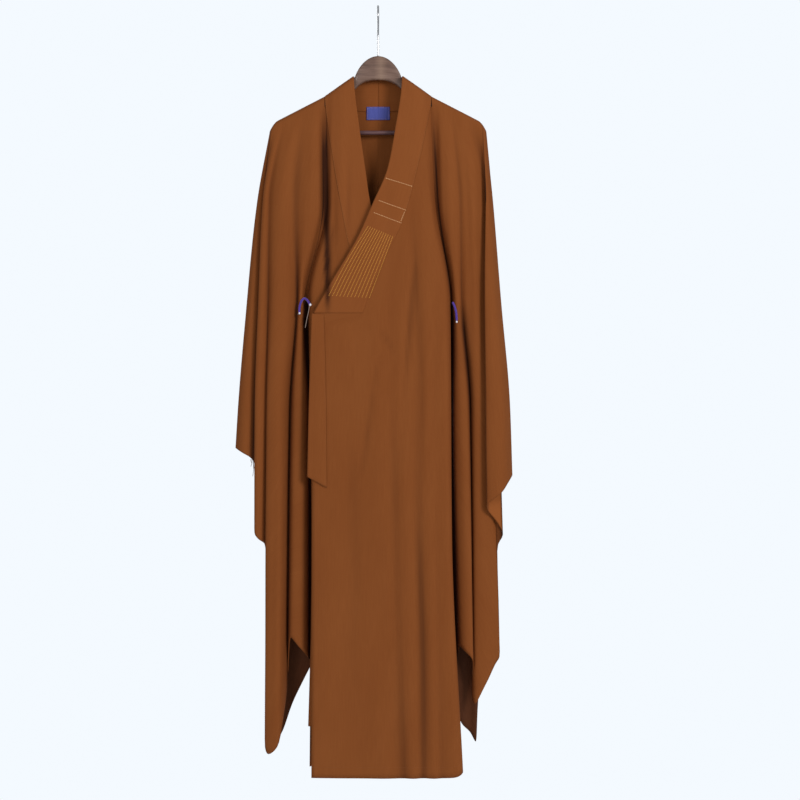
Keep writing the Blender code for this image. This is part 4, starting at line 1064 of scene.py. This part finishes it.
hemStitching = dict(up=22.0, length=2.6, gap=1.6, width=0.5, height=0.2)
hemRuns = []
for name in ("sleeveLeft", "sleeveRight", "frontLeft", "frontRight", "backLeft", "backRight"):
    outward = normalsOf[name] if "back" not in name else -normalsOf[name]
    hemRuns.append(seamLine(surfaces[name], outward, hemStitching["up"], robe["cloth"] / 2 + 0.05))
h = hemStitching
stitches("hemStitches", hemRuns, seamThread, h["length"], h["gap"], h["width"], h["height"])
tieNormals = gridNormals(tieGrid)
tieRuns = [(tieGrid[:, k] + tieNormals[:, k] * 0.75, tieNormals[:, k]) for k in (1, -2)]
stitches("tieStitches", tieRuns, seamThread, 2.6, 1.6, 0.5, 0.2)
print("stitching done")


def tubePiece(name, nodes, path, radius, material, sides=20):
    # closed tube along a path, with its run in UV, in metres
    rings = ringAlong(path, radius, sides)
    rings = np.concatenate([rings, rings[:, :1]], axis=1)
    faces = gridFaces(*rings.shape[:2])
    corners = rings.reshape(-1, 3)[faces]
    middle = rings.mean(axis=1)[faces[:, 0] // rings.shape[1]]
    facing = np.cross(corners[:, 1] - corners[:, 0], corners[:, 3] - corners[:, 0])
    if (facing * (corners[:, 0] - middle)).sum() < 0:
        faces = faces[:, ::-1]
    obj = addMesh(name, rings, faces, material, surfaceUv(rings))
    repairMesh(obj.data, 0.001, fill=True, turn=False)
    return finishPiece(obj, nodes)


def closedPiece(name, nodes, rings, material):
    # rings joined into a skin and closed at both ends
    rings = np.concatenate([rings, rings[:, :1]], axis=1)
    obj = addMesh(name, rings, gridFaces(*rings.shape[:2]), material)
    repairMesh(obj.data, 0.001, fill=True)
    return finishPiece(obj, nodes)


# purple cord loops at the tops of the side openings, tacked down with white thread
loopSizes = dict(radius=2.3, right=((-160.3, -23.5, -631), (-161.2, -23.3, -622), (-158, -23.7, -607),
                                    (-151, -23.5, -598), (-144, -23.8, -603), (-139.5, -23.3, -612)),
                 left=((153.5, -20.3, -609), (157.0, -21.7, -616), (160.0, -22.8, -628), (161.0, -23.1, -644)))
for side in ("right", "left"):
    tubePiece("cordLoop_" + side, ["loop_" + side], smoothPath(loopSizes[side], 0.6, 90),
              loopSizes["radius"], purpleCord)


def knotRings(centre, size):
    # a ball whose radius swells in four lobes, like wound thread
    u, v = np.meshgrid(np.linspace(0.04, np.pi - 0.04, 13),
                       np.linspace(0, 2 * np.pi, 18, endpoint=False), indexing="ij")
    r = size * (1 + 0.16 * np.sin(4 * v + 3 * u))
    ball = [r * np.sin(u) * np.cos(v), 0.7 * r * np.sin(u) * np.sin(v), r * np.cos(u)]
    return np.asarray(centre) + np.stack(ball, -1)


tackKnots = [((-160.2, -26.2, -630.5), 2.2), ((-137.4, -45.5, -614.0), 2.4), ((161.0, -25.9, -648.0), 2.0)]
for number, (centre, size) in enumerate(tackKnots):
    closedPiece("tackKnot_%d" % number, [], knotRings(centre, size), whiteThread)

tubePiece("looseThread", [], smoothPath([(-139, -44.5, -616), (-141, -44.0, -628), (-144, -41.0, -640),
                                         (-148, -38.0, -660)], 1.0, 30), 0.7, greyThread, 8)
frayedEnds = [(-262.0, 6.0), (-259.5, 14.0), (-257.0, 22.0), (-255.5, 34.0), (-254.0, 28.0), (-252.5, 18.0)]
for number, (x, length) in enumerate(frayedEnds):
    top = (x, -6.0, -930.0)
    middle, end = (x + 0.8, -6.5, top[2] - length / 2), (x + (-1) ** number * 1.8, -6.0, top[2] - length)
    path = smoothPath([top, middle, end], 1.0, 20)
    tubePiece("frayedEnd_%d" % number, [], path, 0.45, frayedThread, 6)

# hanger: board with a rounded rectangle for its section, between its top and its under line
hangerSizes = dict(domeX=58.0, domeZ=96.0, top=-100.5, thick=12.0, corner=4.6, woodGap=0.7, barZ=-258.0,
                   barEnd=180.0, barRadius=4.5, wire=4.0, hookRadius=18.0)
underLine = [(0, -149.7), (13, -150.5), (26, -153.5), (38, -160), (45, -167), (76, -189), (109, -207),
             (140, -222), (170, -238), (179.5, -246), (181.0, -266), (190, -269), (204, -268), (211, -263),
             (213.8, -255)]


def hangerSurface():
    g = hangerSizes
    angle = np.radians(np.linspace(90, 40, 26))
    topX = list(g["domeX"] * np.cos(angle)) + [48.5, 54.0, 80.0, 109.0, 140.0, 175.0, 200.0, 209.0, 213.8]
    topZ = list(g["top"] - g["domeZ"] * (1 - np.sin(angle)))
    for x in topX[26:-2]:
        wall = robe["band"] if x <= 109.0 else robe["cloth"]
        topZ.append(float(shoulderHeight(x)) - wall / 2 - g["woodGap"])
    topZ += [-241.5, -249.0]
    x = 213.8 * np.sin(np.linspace(-np.pi / 2, np.pi / 2, 260))
    high = np.interp(np.abs(x), topX, topZ)
    low = np.interp(np.abs(x), [p[0] for p in underLine], [p[1] for p in underLine])
    tip = np.sqrt(np.clip((214.3 - np.abs(x)) / 8.0, 0, 1))
    half, middle = (high - low) / 2, (high + low) / 2
    depth = g["thick"] / 2 * tip
    corner = np.minimum(g["corner"], np.minimum(half, depth) * 0.95)
    turn = np.linspace(0, 2 * np.pi, 40, endpoint=False) + 0.01
    c, s = np.cos(turn), np.sin(turn)
    y = np.sign(c) * (depth - corner)[:, None] + corner[:, None] * c
    z = middle[:, None] + np.sign(s) * (half - corner)[:, None] + corner[:, None] * s
    groove = 0.35 * np.exp(-(x / 0.8) ** 2)[:, None]
    return np.stack([np.repeat(x[:, None], 40, 1), y * (1 - groove / 6), z], axis=-1)


closedPiece("hangerBoard", ["hanger_wood"], hangerSurface(), neckWood)
g = hangerSizes
barX = np.linspace(-g["barEnd"] + g["barRadius"], g["barEnd"] - g["barRadius"], 60)
tubePiece("hangerBar", ["hanger_bar"], np.stack([barX, 0 * barX, 0 * barX + g["barZ"]], axis=1),
          g["barRadius"], barWood, 28)
arc = np.radians(np.linspace(-18, 210, 60))
hookReach = g["hookRadius"] + g["wire"] / 2
hookPath = [(0.0, 0.0, -99.0), (0.0, 0.0, -84.0), (0.0, 0.0, -68.0), (0.0, 0.0, -56.0), (0.0, 3.0, -47.0),
            (0.0, 9.5, -39.0), (0.0, 16.0, -31.0)]
hookPath += [(0.0, hookReach * np.cos(a), -g["hookRadius"] + hookReach * np.sin(a)) for a in arc]
tubePiece("wireHook", ["hanger_hook"], smoothPath(hookPath, 0.7, 12), g["wire"] / 2, brightWire)
print("hanger made")

# studio: pale floor, pale air, a large soft light from the front right, weaker ones from the left and behind
studio = dict(air=(0.905, 0.953, 1.0), airLight=0.42, floorZ=-1.9, floorRadius=1.15,
              floorColor=(0.86, 0.88, 0.90))
angle = np.linspace(0, 2 * np.pi, 96, endpoint=False)
rings = np.array([0.05, 0.4, 0.8, 1.1, 1.15])[:, None] * studio["floorRadius"] / 1.15
floorZ = np.array([0.0, 0.0, 0.0, 0.0, -0.01])[:, None] + studio["floorZ"]
floorGrid = np.stack([rings * np.cos(angle), rings * np.sin(angle), floorZ + 0 * angle], axis=-1)
floorFaces = gridFaces(5, 96, closed=True)[:, ::-1]
floorMesh = bpy.data.meshes.new("paleFloor")
floorMesh.from_pydata(floorGrid.reshape(-1, 3).tolist(), [], floorFaces.tolist() + [list(range(96))])
floor = bpy.data.objects.new("paleFloor", floorMesh)
bpy.context.scene.collection.objects.link(floor)
floorMaterial, nodes, links, shader = newMaterial("paleFloor", dict(roughness=0.7))
spots = noise(nodes, links, nodes.new("ShaderNodeTexCoord").outputs["Object"], 6.0)
links.new(ramp(nodes, links, spots, [(0.3, tuple(0.97 * v for v in studio["floorColor"])),
                                     (0.7, studio["floorColor"])]), shader.inputs["Base Color"])
floorMesh.materials.append(floorMaterial)

world = bpy.data.worlds.new("paleAir")
bpy.context.scene.world = world
world.use_nodes = True
nodes, links = world.node_tree.nodes, world.node_tree.links
seen = nodes["Background"]
seen.inputs["Color"].default_value = (*studio["air"], 1.0)
shining = nodes.new("ShaderNodeBackground")
shining.inputs["Color"].default_value = (*studio["air"], 1.0)
shining.inputs["Strength"].default_value = studio["airLight"]
ray = nodes.new("ShaderNodeLightPath")
mix = nodes.new("ShaderNodeMixShader")
links.new(ray.outputs["Is Camera Ray"], mix.inputs["Fac"])
links.new(shining.outputs["Background"], mix.inputs[1])
links.new(seen.outputs["Background"], mix.inputs[2])
links.new(mix.outputs["Shader"], nodes["World Output"].inputs["Surface"])

lamps = [("keyLight", (2.1, -2.9, 0.3), 1.3, 66.0), ("fillLight", (-1.5, -3.4, 0.2), 1.6, 26.0),
         ("backLight", (-1.4, 3.4, 0.4), 1.6, 26.0)]
for name, place, size, power in lamps:
    light = bpy.data.lights.new(name, "AREA")
    light.shape = "DISK"
    light.size = size
    light.energy = power
    lamp = bpy.data.objects.new(name, light)
    bpy.context.scene.collection.objects.link(lamp)
    lamp.location = place
    toward = np.array((0.0, 0.0, -0.8)) - np.array(place)
    flatReach = np.hypot(toward[0], toward[1])
    lamp.rotation_euler = (np.pi / 2 + np.arctan2(toward[2], flatReach), 0.0, np.arctan2(-toward[0], toward[1]))

cameraSizes = dict(place=(0.0451, -4.0, -0.8077), lens=87.5)
cameraData = bpy.data.cameras.new("camera")
cameraData.lens = cameraSizes["lens"]
cameraData.sensor_width = 36.0
camera = bpy.data.objects.new("camera", cameraData)
camera.location = cameraSizes["place"]
camera.rotation_euler = (np.pi / 2, 0.0, 0.0)
bpy.context.scene.collection.objects.link(camera)
bpy.context.scene.camera = camera
bpy.context.scene.view_settings.view_transform = "Standard"

print("scene finished")
